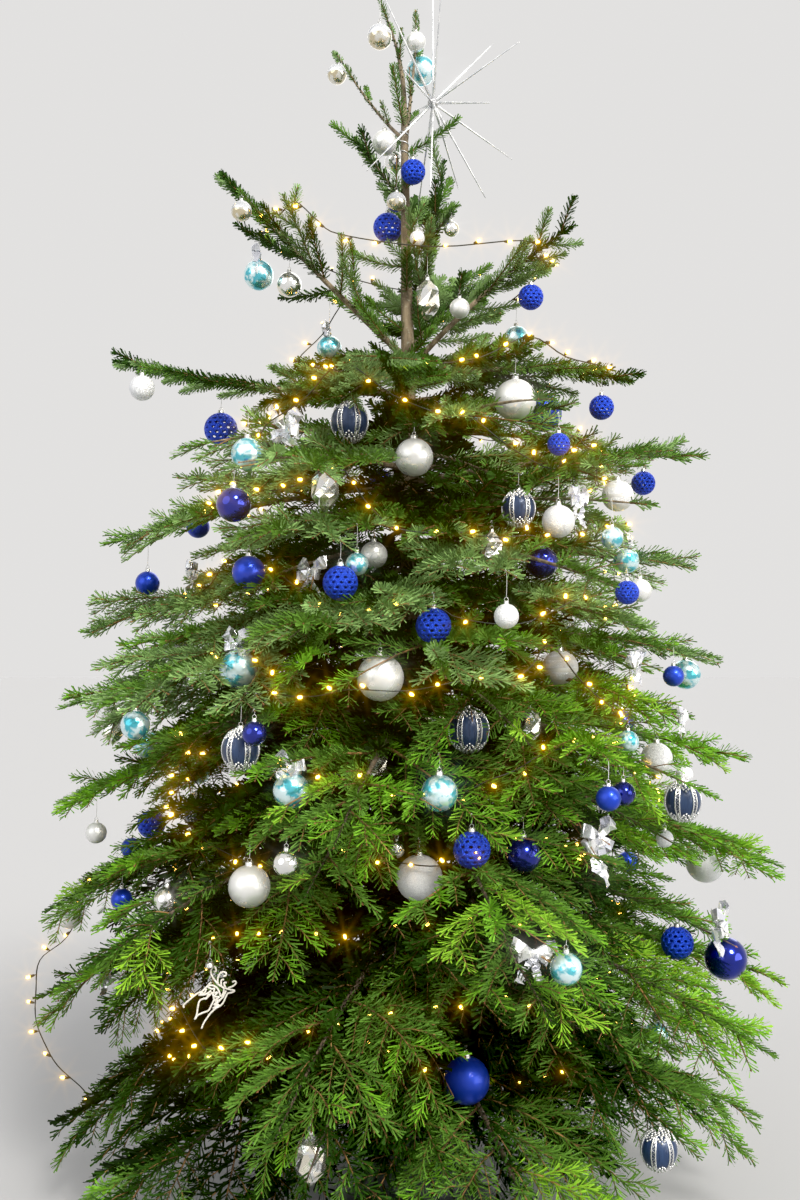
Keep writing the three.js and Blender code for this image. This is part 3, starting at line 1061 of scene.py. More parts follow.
class Foliage:
    """Grows every twig of the crown."""

    bud = ((0, -1.0), (2.0, 2.0), (0, 6.0))
    sampled = (0.1, 0.35, 0.6, 0.85, 1.0)
    opening = 0.8
    opened = (260, 600)
    pushed = 3.0

    def __init__(self, rule: TwigRule) -> None:
        """Starts a crown with no twigs."""
        self.rule = rule
        self.twigs: list[Twig] = []

    @cached_property
    def samples(self) -> Array:
        """A few points along each twig. It is asked for when all twigs have grown."""
        return np.array([[twig.at(share)[0] for share in self.sampled] for twig in self.twigs])

    def droop(self, height: float) -> float:
        """How far a twig of length one bends down over its length, or up where that is below zero."""
        rule = self.rule
        low = held((rule.lift_height - height) / rule.lift_height, (-0.25, 1))
        return rule.least_bend + rule.bend * low if low > 0 else rule.lift * low

    def curve(self, root: Array, direction: Array, forward: Array, length: float, steps: int) -> Array:
        """A twig's line: it turns a little to the front of its parent, and its weight bends it."""
        share = np.linspace(0, 1, steps + 1)[:, None]
        sag = self.droop(root[2]) * UP
        return root + direction * length * share + (self.rule.forward * forward - sag) * length * share ** 2

    def grow(self, limbs: Sequence[Limb], first_seed: int) -> None:
        """Grows the twigs of some limbs."""
        for index, limb in enumerate(limbs):
            self.grow_limb(limb, Seeded(first_seed + index))

    def grow_limb(self, limb: Limb, random: Seeded) -> None:
        """Grows a limb's stem, and its side twigs in pairs from the tip inwards."""
        rule = self.rule
        shares = np.linspace(limb.share, 1, max(4, round(limb.length / rule.stem_step)) + 1)
        bare = max(0.0, (rule.stem_bare - limb.share) / (1 - limb.share))
        radii = limb.radius(limb.share), rule.stem_end
        green = self.green(limb.point(0.8), limb.start[2], random)
        stem = Twig(limb.point(shares), limb.axes(0.5)[2], radii, limb.name, 0, green, bare, rule.stem_dense)
        self.twigs.append(stem)
        if limb.start[2] > rule.open_above:
            self.grow_open(limb, stem, random)
            return
        nearest, furthest = rule.shares
        pairs = max(1, round((furthest - nearest) * limb.length / rule.spacing) + 1)
        for pair, side in product(range(pairs), (1, -1)):
            inward = (pair + rule.offset * (side > 0)) / (pairs - 1 + rule.offset)
            share = mix(furthest, nearest, inward) if pairs > 1 else rule.lone_share
            self.grow_side(limb, stem, share, side, random)
        if limb.length > rule.upper_from:
            self.grow_upper(limb, stem, random)

    def grow_side(self, limb: Limb, stem: Twig, share: float, side: int, random: Seeded) -> None:
        """Grows a side twig with its finer twigs, as one spray of one green.

        Args:
            limb: the limb that it grows on.
            stem: the limb's own twig.
            share: the share of the limb's length that it stands at.
            side: 1 or -1, for its two sides.
            random: the row of chances.
        """
        rule = self.rule
        turn = radians(rule.angle) + random.sway(rule.angle_sway)
        pitch, roll = random.sway(rule.pitch_sway), random.sway(rule.roll_sway)
        axes = limb.axes(share)
        direction = fanned(axes, side, turn, pitch)
        fan = (1 - share) ** rule.fullness * min(1, share / rule.longest_at)
        length = max(rule.least_length, rule.length_share * limb.length * fan)
        length *= mix(*rule.luck, random.number())
        line = self.curve(limb.point(share), direction, axes[0], length, max(2, round(length / rule.step)))
        flat = turned(square_to(direction, axes[2]), direction, roll)
        thick = min(rule.side_radius + rule.thicker * length, float(limb.radius(share)) * 0.8)
        green = self.green(line[-1], limb.start[2], random)
        bare = 0.1 if share < 0.4 else 0.02
        twig = Twig(line, flat, (thick, rule.end_radius), limb.name, 1, green, bare, parent=stem)
        self.twigs.append(twig)
        self.grow_fine(twig, random)

    def grow_fine(self, parent: Twig, random: Seeded) -> None:
        """Grows the finer twigs along a twig, in pairs.

        Args:
            parent: the twig.
            random: the row of chances.
        """
        rule = self.rule
        length = parent.length
        pairs = int((length - rule.fine_margin) / rule.fine_spacing)
        for pair, side in product(range(pairs), (1, -1)):
            share = 0.16 + 0.74 * (pair + 0.5 + 0.22 * side) / pairs
            reach = rule.fine_share * length * (1.12 - share) * mix(*rule.fine_luck, random.number())
            point, along = parent.at(share)
            axes = along, unit(np.cross(parent.over, along)), parent.over
            turn = radians(rule.fine_angle) + random.sway(rule.angle_sway)
            direction = fanned(axes, side, turn, rule.fine_roll * random.sway(rule.roll_sway))
            line = self.curve(point, direction, along, held(reach, rule.fine_lengths), 2)
            green = parent.green
            # Partly painted light: outer fine twigs may take a paler green than their spray.
            if share > 0.5 and random.number() < rule.paler_tips:
                green = Green.FROST if green is Green.MID and point[2] > rule.frost_above else PALER[green]
            over, radii = square_to(direction, parent.over), (rule.fine_radius, rule.end_radius)
            self.twigs.append(replace(parent, points=line, over=over, radii=radii, order=2, green=green,
                                      bare=0.0, parent=parent))

    def grow_upper(self, limb: Limb, stem: Twig, random: Seeded) -> None:
        """Grows short shoots that rise from the upper side of a limb and lean to its tip."""
        rule = self.rule
        count = int(0.7 * limb.length / rule.upper_spacing)
        for number in range(count):
            share = mix(*rule.upper_shares, (number + random.number()) / count)
            along, across, over = limb.axes(share)
            turn = radians(rule.upper_angle) + random.sway(14)
            out = leant(over, across, random.sway(50))
            length = mix(*rule.upper_lengths, random.number()) * mix(1.15, 0.55, share)
            line = self.curve(limb.point(share), leant(along, out, turn), along, length, 2)
            green = self.green(line[-1], limb.start[2], random)
            self.twigs.append(Twig(line, out, (rule.fine_radius, rule.end_radius), limb.name, 1, green,
                                   dense=1.1, wrap=0.8, parent=stem))

    def grow_open(self, limb: Limb, stem: Twig, random: Seeded) -> None:
        """Grows the brush-like shoots of a limb in the open top, most of them with none of their own."""
        rule = self.rule
        leader, level = limb.name.startswith("leader"), limb.name.startswith("long")
        count = max(3, int((0.95 - limb.share) * limb.length / rule.open_spacing))
        stem.dense, stem.needle, stem.wrap = rule.open_dense, rule.open_needle, 1.0
        if leader:
            count, stem.dense, stem.needle = rule.leader_shoots, rule.leader_dense, rule.leader_needles[0]
        for pair, side in product(range(count), (1, -1)):
            inward = (pair + 0.5 * (side > 0) + 0.3 * random.number()) / count
            share = mix(0.94, max(limb.share, 0.14), min(1, inward))
            along, across, over = limb.axes(share)
            turn = radians(rule.open_angle) + random.sway(11)
            roll = random.sway(9 if level else 34) + 0.04
            direction = leant(along, leant(across * side, over, roll), turn)
            length = rule.open_share * limb.length * (1.15 - share) * mix(0.75, 1.2, random.number())
            length = held(length, rule.level_lengths if level else rule.open_lengths)
            if leader:
                length = mix(*rule.leader_lengths, random.number())
            shoot = self.single_shoot(limb.point(share), direction, along, length, limb.name, random)
            shoot.parent = stem
            if leader:
                shoot.needle = rule.leader_needles[1]
            if length > rule.open_fine_from:
                self.grow_fine(shoot, random)

    def grow_shoots(self, limbs: Sequence[Limb]) -> None:
        """Grows short single shoots along the bare boughs and round the trunk."""
        rule = self.rule
        random = Seeded(rule.seed + 900)
        for limb in limbs:
            steep = limb.name.startswith("steep")
            count = int(limb.share * limb.length / rule.shoot_step * (rule.steep_more if steep else 1.0))
            for number in range(2 if steep else 3, count):
                share = limb.share * (number + random.number() * 0.6) / count
                axes = limb.axes(share)
                turn = radians(rule.shoot_angle) + random.sway(14)
                lift = random.sway(38) + (0.1 if steep else 0.25)
                direction = fanned(axes, 1 if number % 2 else -1, turn, lift)
                length = mix(*rule.shoot_lengths, random.number()) * (rule.steep_longer if steep else 1.0)
                self.single_shoot(limb.point(share), direction, axes[0], length, limb.name, random)
        for number in range(rule.trunk_low_shoots):
            height = mix(rule.trunk_low, rule.open_above, (number + 0.5) / rule.trunk_low_shoots)
            level = level_way(radians(Whorls.golden_angle * number))
            nearest = min(limbs, key=lambda limb: abs(limb.start[2] - height) - 100 * float(
                unit(limb.end - limb.start) @ level))
            shoot = self.trunk_shoot(height, level, random.sway(34),
                                     mix(*rule.trunk_low_lengths, random.number()), nearest.name, random)
            # Painted shade: most shoots round the trunk take the dark DEEP green.
            shoot.green = Green.DEEP if random.number() < rule.deep_chance else Green.MID
            self.grow_fine(shoot, random)
        shortest, longest = rule.shoot_lengths
        for number in range(rule.trunk_shoots):
            height = mix(rule.open_above, rule.trunk_high, (number + 0.5) / rule.trunk_shoots)
            level = level_way(radians(Whorls.golden_angle * number + rule.trunk_start))
            rise = radians(rule.trunk_rise) + random.sway(24)
            length = mix(shortest, longest * rule.trunk_longer, random.number())
            mass = "upper_left" if level[0] < 0 else "upright_right"
            self.trunk_shoot(height, level, rise, length, mass, random)

    def trunk_shoot(self, height: float, level: Array, rise: float, length: float, mass: str,
                    random: Seeded) -> Twig:
        """Grows a single shoot on the trunk, at a height and level direction."""
        root = TRUNK.axis(height) + level * float(TRUNK.radius(height)) * 0.7
        return self.single_shoot(root, leant(level, UP, rise), UP, length, mass, random)

    def single_shoot(self, root: Array, direction: Array, forward: Array, length: float, mass: str,
                     random: Seeded) -> Twig:
        """Grows one brush-like shoot with no twigs of its own.

        Args:
            root: where it grows.
            direction: the direction that it starts in.
            forward: the direction that it bends to.
            length: its length.
            mass: the mass that it belongs to.
            random: the row of chances.

        Returns:
            The new twig.
        """
        rule = self.rule
        line = self.curve(root, direction, forward, length, 3)
        over = square_to(direction, UP) if abs(direction[2]) < 0.98 else vec(1, 0, 0)
        chance = random.number()
        green = Green.BLUE if chance < 0.45 else Green.DEEP if chance < 0.7 else Green.MID
        self.twigs.append(Twig(line, over, (rule.side_radius, rule.end_radius), mass, 1, green, 0.04,
                               rule.open_dense, rule.open_needle, 1.0))
        return self.twigs[-1]

    def green(self, tip: Array, root: float, random: Seeded) -> Green:
        """Deals a spray its green, by how high it grows, how deep in the crown it ends and, low down, how
        far to the right it ends. Dark greens are painted shade deep inside; paler greens are painted light
        on outer, higher and right-hand sprays, along with the paler tone of outer needles.

        Args:
            tip: where it ends.
            root: the height at which its limb leaves the trunk.
            random: the row of chances.

        Returns:
            Its green.
        """
        rule = self.rule
        reach, _ = Whorls.reach_at(degrees(atan2(tip[1], tip[0])), root)
        chance = random.number()
        if root > rule.open_above:
            return Green.BLUE if chance < 0.5 else Green.DEEP if chance < 0.72 else Green.MID
        # Painted light and shade: sprays that end further out and grow higher come out paler, those deep
        # inside darker.
        light = float(np.hypot(tip[0], tip[1])) / reach + 0.3 * (chance - 0.5) + 0.2 * (root - 900) / 700
        # Painted light from the right: low sprays on the right side come out paler.
        if root < rule.fresh_below:
            light += rule.sunny_right * float(tip[0]) / reach
        if light < 0.7:
            return Green.SHADE if light < 0.52 else Green.DEEP
        if root > rule.fresh_below:
            return Green.BLUE if chance < 0.45 else Green.MID if chance < 0.75 else Green.FROST
        if light < 0.9:
            return Green.MID
        return Green.FRESH if chance < 0.85 else Green.LIME

    def points(self) -> tuple[Array, Array]:
        """Points along all kept twigs, and the number of the twig that each is on."""
        kept = [(number, twig) for number, twig in enumerate(self.twigs) if twig.kept and twig.order > 0]
        owners = [np.full(len(twig.points), number) for number, twig in kept]
        return np.concatenate([twig.points for _, twig in kept]), np.concatenate(owners)

    def keep(self, number: int) -> None:
        """Marks a twig, and those that it grows from, as carrying something."""
        twig: Optional[Twig] = self.twigs[number]
        while twig is not None:
            twig.fixed = True
            twig = twig.parent

    def drop(self, number: int, lowest: int = 0) -> None:
        """Takes away a twig of an order above the lowest, where it carries nothing."""
        twig = self.twigs[number]
        if twig.order > lowest and not twig.fixed:
            twig.kept = False

    def open_view(self, view: "View", centre: Array, radius: float) -> None:
        """Takes away the twigs that would hide an ornament from the front.

        Args:
            view: where it is seen from.
            centre: the ornament's middle.
            radius: half its width.
        """
        pixels, depth = view.pixels(np.vstack([self.samples.reshape(-1, 3), centre[None]]))
        aside = norm(pixels[:-1] - pixels[-1], axis=1)
        before = depth[-1] - depth[:-1]
        hiding = (aside < self.opening * (radius * view.focal / depth[-1])) & (before > 0)
        near, far = [(hiding & (before < reach)).reshape(len(self.samples), -1).any(axis=1)
                     for reach in self.opened]
        for number in np.flatnonzero(far):
            self.drop(number, 0 if near[number] else 1)

    def make_room(self, centre: Array, radius: float) -> None:
        """Takes away the twigs that a hung thing pushes aside."""
        distance = norm(self.samples - centre, axis=-1).min(axis=1)
        for number in np.flatnonzero(distance < radius + self.pushed):
            self.drop(number)

    def settle(self) -> None:
        """Takes away twigs whose parent is gone."""
        for twig in self.twigs:
            if twig.parent is not None and not twig.parent.kept:
                twig.kept = False

    def build_wood(self, bark: Material, wood: Material) -> None:
        """Makes the stems and the twigs, each kind in a piece of its own."""
        stems, fine = Mesh("limb_stems"), Mesh("twigs")
        kept = [twig for twig in self.twigs if twig.kept]
        for twig in kept:
            if twig.order == 0:
                stems.add(*tube(twig.points, np.linspace(*twig.radii, len(twig.points)), 6, twig.over))
        for size in sorted({len(twig.points) for twig in kept if twig.order > 0}):
            group = [twig for twig in kept if twig.order > 0 and len(twig.points) == size]
            radii = np.array([np.linspace(*twig.radii, size) for twig in group])
            lines, overs = np.array([twig.points for twig in group]), np.array([twig.over for twig in group])
            fine.add(*tubes(lines, radii, overs, 3))
        stems.build([bark])
        fine.build([wood])

    def build_buds(self, finish: Material) -> None:
        """Makes the buds at the tips of the outer twigs."""
        mesh = Mesh("buds")
        for twig in self.twigs:
            if twig.kept and twig.green not in (Green.SHADE, Green.DEEP):
                tip, along = twig.at(1.0)
                mesh.turn(self.bud, 3, tip, axes_along(along))
        mesh.build([finish], smooth=False)


@dataclass
class NeedleRule:
    """The shape of needles and how they stand round a twig."""

    total: int = 440000
    most_in_piece: int = 95000
    seed: int = 5
    length: float = 26.5
    length_sway: float = 3
    width: float = 2.6
    foot_width: float = 0.5
    shade_length: float = 1.25
    lean: float = 50
    tip_lean: float = 30
    lean_sway: float = 7
    spread: float = 108
    full_spread: float = 165
    unevenness: float = 0.7
    twist: float = 0.9
    cleared: float = 0.9
    cleared_depth: float = 600
    golden_share: float = 0.618
    # Sprays of painted shade take fewer, wider needles, SHADE ones also longer by shade_length, so that they
    # stand as dark masses inside the crown.
    thinning: ClassVar[dict[Green, Pair]] = {Green.SHADE: (0.46, 2.3), Green.DEEP: (0.66, 1.45)}

    def dress(self, foliage: Foliage, greens: dict[Green, Material], hung: Sequence["Hung"]) -> None:
        """Makes the needles of every twig, in pieces of one green each, and none inside an ornament.

        Args:
            foliage: the crown.
            greens: the material of each green.
            hung: the ornaments.
        """
        twigs = [twig for twig in foliage.twigs if twig.kept]
        thin, wide = np.array([self.thinning.get(twig.green, (1.0, 1.0)) for twig in twigs]).T
        longer = np.array([self.shade_length if twig.green is Green.SHADE else 1.0 for twig in twigs])
        needle, dense, wrap = np.array([(twig.needle, twig.dense, twig.wrap) for twig in twigs]).T
        over = np.array([twig.over for twig in twigs])
        owners, starts, ends, firsts, lasts = self.segments(twigs)
        lengths, weights = norm(ends - starts, axis=1), (dense * thin)[owners]
        random = np.random.default_rng(self.seed)
        share = self.total * lengths * weights / (lengths * weights).sum()
        counts = np.floor(share + random.random(len(share))).astype(int)
        segment = np.repeat(np.arange(len(counts)), counts)
        place = np.arange(len(segment)) - np.repeat(np.cumsum(counts) - counts, counts)
        uneven = self.unevenness * (random.random(len(segment)) - 0.5)
        along_share = (place + 0.5 + uneven) / counts[segment]
        owner = owners[segment]
        vertices = self.shapes(mix(starts[segment], ends[segment], along_share[:, None]),
                               unit(ends - starts)[segment], over[owner],
                               mix(firsts[segment], lasts[segment], along_share),
                               np.stack([needle * longer, wide, wrap])[:, owner], random)
        outside = ~self.inside(vertices, hung)
        vertices, owner = vertices[outside], owner[outside]
        colour = np.array([list(Green).index(twig.green) for twig in twigs])
        for number, green in enumerate(Green):
            chosen = np.flatnonzero(colour[owner] == number)
            pieces = max(1, ceil(len(chosen) / self.most_in_piece))
            for part, members in enumerate(np.array_split(chosen, pieces)):
                if len(members):
                    masses = sorted({twigs[one].mass for one in np.unique(owner[members])})
                    name = f"needles_{green.value}_{part + 1}"
                    self.build_piece(name, vertices[members], masses, greens[green])

    def inside(self, vertices: Array, hung: Sequence["Hung"]) -> Array:
        """Finds needles that reach into an ornament, or would hide one that is seen from the front.

        Args:
            vertices: their corners, by needle, corner and axis.
            hung: the ornaments.

        Returns:
            Whether each needle is such a one.
        """
        reached = np.zeros(len(vertices), bool)
        view = View()
        middle = vertices.mean(axis=1)
        pixels, depth = view.pixels(middle)
        for ball in hung:
            near = np.flatnonzero(np.abs(vertices[:, 2] - ball.centre).max(axis=1) < ball.radius + 26)
            offset = vertices[near] - ball.centre
            reached[near] |= (norm(offset, axis=-1) < ball.radius * 1.02 + 0.5).any(axis=1)
            if ball.shown:
                spot, far = view.pixels(ball.centre[None])
                disc = self.cleared * ball.radius * view.focal / far[0]
                before = (depth < far[0]) & (depth > far[0] - self.cleared_depth)
                reached |= before & (np.abs(pixels - spot[0]).max(axis=1) < disc) & (
                    norm(pixels - spot[0], axis=1) < disc)
        return reached

    @staticmethod
    def segments(twigs: Sequence[Twig]) -> tuple[Array, ...]:
        """The straight steps of all twigs that carry needles.

        Args:
            twigs: the twigs.

        Returns:
            Each step's twig by its number, both its ends, and the shares of the twig at them.
        """
        rows = []
        for number, twig in enumerate(twigs):
            shares = np.arange(len(twig.points)) / (len(twig.points) - 1)
            for step in np.flatnonzero(shares[1:] > twig.bare):
                rows.append((number, *twig.points[step:step + 2], *shares[step:step + 2]))
        return tuple(np.array(part) for part in zip(*rows))

    def shapes(self, base: Array, along: Array, over: Array, on_twig: Array, looks: Array,
               random: np.random.Generator) -> Array:
        """The four corners of each needle, a narrow blade with a blunt tip.

        Needles leave a twig on one side and the other by turns, and each is turned on from the last one.

        Args:
            base: where each needle grows.
            along: the direction of its twig.
            over: the upper side of its twig.
            on_twig: how far along its twig it is, as a share.
            looks: three rows: its length and its width against the usual ones, and 0 where needles part like
                a comb over the twig or 1 where they stand all round it.
            random: the source of chances.

        Returns:
            The corners, by needle, corner and axis.
        """
        count = len(base)
        needle, wide, wrap = looks
        over = unit(over - along * (over * along).sum(axis=1, keepdims=True))
        across = np.cross(over, along)
        number = np.arange(count)
        side = np.where(number % 2 == 0, -1.0, 1.0)
        turn = (number // 2 * self.golden_share) % 1
        around = np.radians(mix(self.spread, self.full_spread, wrap) * turn ** 0.88) * side
        lean = np.radians(mix(self.lean, self.tip_lean, np.clip(on_twig, 0, 1) ** 2))
        lean = lean + np.radians(self.lean_sway) * (random.random(count) * 2 - 1)
        out = over * np.cos(around)[:, None] + across * np.sin(around)[:, None]
        direction = along * np.cos(lean)[:, None] + out * np.sin(lean)[:, None]
        shorter = 1 - 0.3 * np.clip(on_twig - 0.75, 0, 1) / 0.25
        length = (self.length + self.length_sway * (random.random(count) * 2 - 1)) * shorter * needle
        flat = unit(np.cross(direction, out))
        tilt = (random.random(count) * 2 - 1)[:, None] * self.twist
        flat = unit(flat + tilt * np.cross(flat, direction))
        half = flat * (self.width * wide / 2)[:, None]
        tip = base + direction * length[:, None]
        foot = half * self.foot_width
        return np.stack([base - foot, base + foot, tip + half, tip - half], axis=1)

    def build_piece(self, name: str, corners: Array, masses: Sequence[str], material: Material) -> None:
        """Makes one piece of needles, which stands for the masses that it grows on."""
        mesh = Mesh(name)
        first = np.arange(len(corners))[:, None] * 4
        mesh.add(corners.reshape(-1, 3), [np.concatenate([first + [0, 1, 2], first + [0, 2, 3]])])
        piece = mesh.build([material], smooth=False)
        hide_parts(*(f"foliage_{mass}" for mass in masses))


# Wood with relief


class Relief:
    """A repeatable soft noise over a limb, which closes round it."""

    def __init__(self, seed: int, around: int, along: int) -> None:
        """Deals random heights on a grid of cells around and along the limb."""
        random = np.random.default_rng(seed)
        self.heights = random.random((along + 2, around))
        self.around, self.along = around, along

    def at(self, turn: Array, share: Array) -> Array:
        """The noise at places on the limb.

        Args:
            turn: shares of a turn round it.
            share: shares of its length.

        Returns:
            Numbers from -1 to 1.
        """
        column, row = turn * self.around, np.clip(share, 0, 1) * self.along
        c0, r0 = np.floor(column).astype(int), np.floor(row).astype(int)
        u, v = column - c0, row - r0
        u, v = u * u * (3 - 2 * u), v * v * (3 - 2 * v)
        c0, c1 = c0 % self.around, (c0 + 1) % self.around
        r1 = np.minimum(r0 + 1, self.along + 1)
        low = mix(self.heights[r0, c0], self.heights[r0, c1], u)
        high = mix(self.heights[r1, c0], self.heights[r1, c1], u)
        return 2 * mix(low, high, v) - 1


@dataclass
class Wood:
    """The trunk and the bare boughs, with their bark's relief."""

    sides: int = 44
    ring_step: float = 9
    plate_depth: float = 1.7
    blister_depth: float = 0.55
    smooth_above: float = 1300
    collar: float = 2.2
    collar_height: float = 13
    bough_sides: int = 14
    bough_step: float = 12

    def trunk(self, bark: Material) -> None:
        """The trunk, swollen a little where a whorl of boughs stands."""
        rings = int((TRUNK.top - TRUNK.foot) / self.ring_step) + 1
        height = np.linspace(TRUNK.foot, TRUNK.top, rings)[:, None]
        turn = (np.arange(self.sides) / self.sides)[None]
        share = np.broadcast_to((height - TRUNK.foot) / (TRUNK.top - TRUNK.foot), (rings, self.sides))
        turns = np.broadcast_to(turn, (rings, self.sides))
        rough = np.clip((self.smooth_above - height) / self.smooth_above, 0.12, 1)
        plates = Relief(21, 16, 70).at(turns, share)
        blisters = np.maximum(Relief(22, 22, 190).at(turns, share), 0.35) - 0.35
        radius = TRUNK.radius(height) + self.plate_depth * rough * plates + self.blister_depth * blisters * 2
        for tier in TIERS:
            radius = radius + self.collar * np.exp(-((height - tier.root) / self.collar_height) ** 2)
        angle = 2 * pi * turns
        points = np.stack([TRUNK.lean * height / TRUNK.lean_height + radius * np.cos(angle),
                           radius * np.sin(angle), np.broadcast_to(height, angle.shape)], axis=-1)
        mesh = Mesh("trunk_bark")
        ring = np.arange(self.sides)
        ends = np.stack([ring[::-1], ring + (rings - 1) * self.sides])
        mesh.add(points.reshape(-1, 3), [grid_faces(rings, self.sides), ends])
        piece = mesh.build([bark])
        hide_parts("trunk")

    def bough(self, limb: Limb, number: int, bark: Material) -> None:
        """The bare part of one main bough, from the trunk to its mass."""
        steps = max(4, int(limb.share * limb.length / self.bough_step))
        start = float(TRUNK.radius(limb.start[2])) * 0.6 / limb.length
        shares = np.linspace(start, limb.share + 0.01, steps + 1)
        lumps = Relief(40 + number, 1, steps).at(np.zeros(steps + 1), np.linspace(0, 1, steps + 1))
        radii = limb.radius(shares) * (1 + 0.07 * lumps)
        _, _, over = limb.axes(limb.share / 2)
        vertices, faces = tube(limb.point(shares), radii, self.bough_sides, over)
        rings = vertices.reshape(steps + 1, self.bough_sides, 3)
        centres = rings.mean(axis=1, keepdims=True)
        turns = np.broadcast_to(np.arange(self.bough_sides) / self.bough_sides, rings.shape[:2])
        along = np.broadcast_to(np.linspace(0, 1, steps + 1)[:, None], rings.shape[:2])
        grain = Relief(60 + number, 7, steps).at(turns, along)
        rings = centres + (rings - centres) * (1 + 0.06 * grain[..., None])
        mesh = Mesh(f"bough_{limb.name}_bark")
        mesh.add(rings.reshape(-1, 3), faces)
        piece = mesh.build([bark])
        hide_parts(f"bough_{limb.name}")


@dataclass
class Stand:
    """The bucket stand with its four clamp screws, in finer forms than its solids."""

    foot_radius: float = 168
    foot_edge: float = 14
    foot_rise: float = 34
    waist_radius: float = 104
    waist_height: float = 62
    body_radius: float = 93
    collar_radius: float = 99
    collar_foot: float = 175
    height: float = 205
    wall: float = 12
    floor: float = 26
    inner_foot: float = 64
    sides: int = 96
    ribs: int = 16
    rib_width: float = 5
    screws: int = 4
    screw_height: float = 190
    shaft_radius: float = 4.6
    thread_depth: float = 0.8
    thread_pitch: float = 2.6
    pad_radius: float = 9
    pad_length: float = 5
    reach: float = 136
    handle_radius: float = 6
    handle_length: float = 62
    handle_turns: tuple[float, ...] = (70, 25, 60, 15)
    screw_sides: int = 20

    def build(self, plastic: Material, steel: Material, red: Material) -> None:
        """Makes the bucket and the screws."""
        self.bucket(plastic)
        for number in range(self.screws):
            self.screw(number, steel, red)

    def bucket(self, plastic: Material) -> None:
        """A turned bucket with round edges and ribs on its skirt."""
        inner = self.body_radius - self.wall
        skirt = self.waist_radius + 14
        bulge = [(mix(skirt, self.waist_radius, s) - 5 * sin(pi * s),
                  mix(self.foot_rise, self.waist_height, s)) for s in (0.0, 0.25, 0.5, 0.75, 1.0)]
        foot, body, collar, low, top = (self.foot_radius, self.body_radius, self.collar_radius,
                                        self.collar_foot, self.height)
        profile = [
            (0, 0), (foot - 4, 0), (foot - 1, 1), (foot, 4), (foot - 0.5, 9), (foot - 3, 12.5),
            (foot - 8, self.foot_edge + 1), *bulge, (body, low - 8), (body + 0.8, low - 5),
            (collar - 1, low), (collar, low + 2), (collar, top - 3), (collar - 1, top - 1),
            (collar - 3, top), (inner + 2, top),
            (inner, top - 2), (inner - 2, self.waist_height), (self.inner_foot + 6, self.floor + 6),
            (self.inner_foot, self.floor), (0, self.floor),
        ]
        mesh = Mesh("stand_bucket_moulding")
        mesh.add(*revolve(profile, self.sides))
        for number in range(self.ribs):
            mesh.add(*self.rib(2 * pi * (number + 0.5) / self.ribs))
        piece = mesh.build([plastic])
        piece.modifiers.new("edges", "EDGE_SPLIT").split_angle = radians(38)
        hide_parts("stand_bucket")

    def rib(self, angle: float) -> Form:
        """A thin fin from the foot's edge up to the waist."""
        foot, waist = self.foot_radius, self.waist_radius
        profile = [(foot - 16, self.foot_edge), (foot - 22, self.foot_edge + 7),
                   (waist + 13, self.foot_rise + 6), (waist + 1, self.waist_height + 4),
                   (waist - 6, self.waist_height), (waist, self.foot_edge)]
        out = level_way(angle)
        side = [out * r + UP * h for r, h in profile]
        half = quarter_on(out) * self.rib_width / 2
        vertices = np.array([p - half for p in side] + [p + half for p in side])
        count = len(profile)
        ring = np.arange(count)
        walls = np.stack([ring, (ring + 1) % count, (ring + 1) % count + count, ring + count], axis=-1)
        return vertices, [walls[:, ::-1], np.stack([ring, ring[::-1] + count])]

    def screw(self, number: int, steel: Material, red: Material) -> None:
        """A pad, a threaded shaft and a round bar to turn it by."""
        azimuth = radians(45 + 90 * number)
        out = level_way(azimuth)
        facet = TRUNK.radius(self.screw_height - self.pad_radius) * cos(pi / 12)
        start = float(facet + TRUNK.axis(self.screw_height)[0] * cos(azimuth) + 0.3)
        pad = start + self.pad_length
        profile = [(0, start), (self.pad_radius - 1, start), (self.pad_radius, start + 1),
                   (self.pad_radius, pad - 1), (self.pad_radius - 1, pad)]
        turns = int((self.reach - pad) / self.thread_pitch)
        shaft = self.shaft_radius
        for turn in range(turns):
            foot = pad + turn * self.thread_pitch
            profile += [(shaft - self.thread_depth, foot + 0.4), (shaft + 0.3, foot + 1.7)]
        profile += [(shaft, self.reach - 1), (0, self.reach)]
        place = UP * self.screw_height
        mesh = Mesh(f"clamp_screw_{number + 1}_steel")
        mesh.turn(profile, self.screw_sides, place, axes_along(out))
        bar = leant(quarter_on(out), UP, radians(self.handle_turns[number]))
        half, round_end = self.handle_length / 2, self.handle_radius
        ends = [(round_end * sin(a), -half + round_end * (1 - cos(a))) for a in np.linspace(0, pi / 2, 6)]
        grip = [(0.0, -half)] + ends[1:] + [(r, -h) for r, h in ends[:0:-1]] + [(0.0, half)]
        hub = [(0, -9), (7.5, -9), (8.5, -7.5), (8.5, 6), (7, 7.5), (0, 7.5)]
        centre = place + out * self.reach
        mesh.turn(grip, self.screw_sides, centre, axes_along(bar), 1)
        mesh.turn(hub, self.screw_sides, centre, axes_along(out), 1)
        piece = mesh.build([steel, red])
        piece.modifiers.new("edges", "EDGE_SPLIT").split_angle = radians(40)
        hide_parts(f"clamp_screw_{number + 1}")


# Ornaments


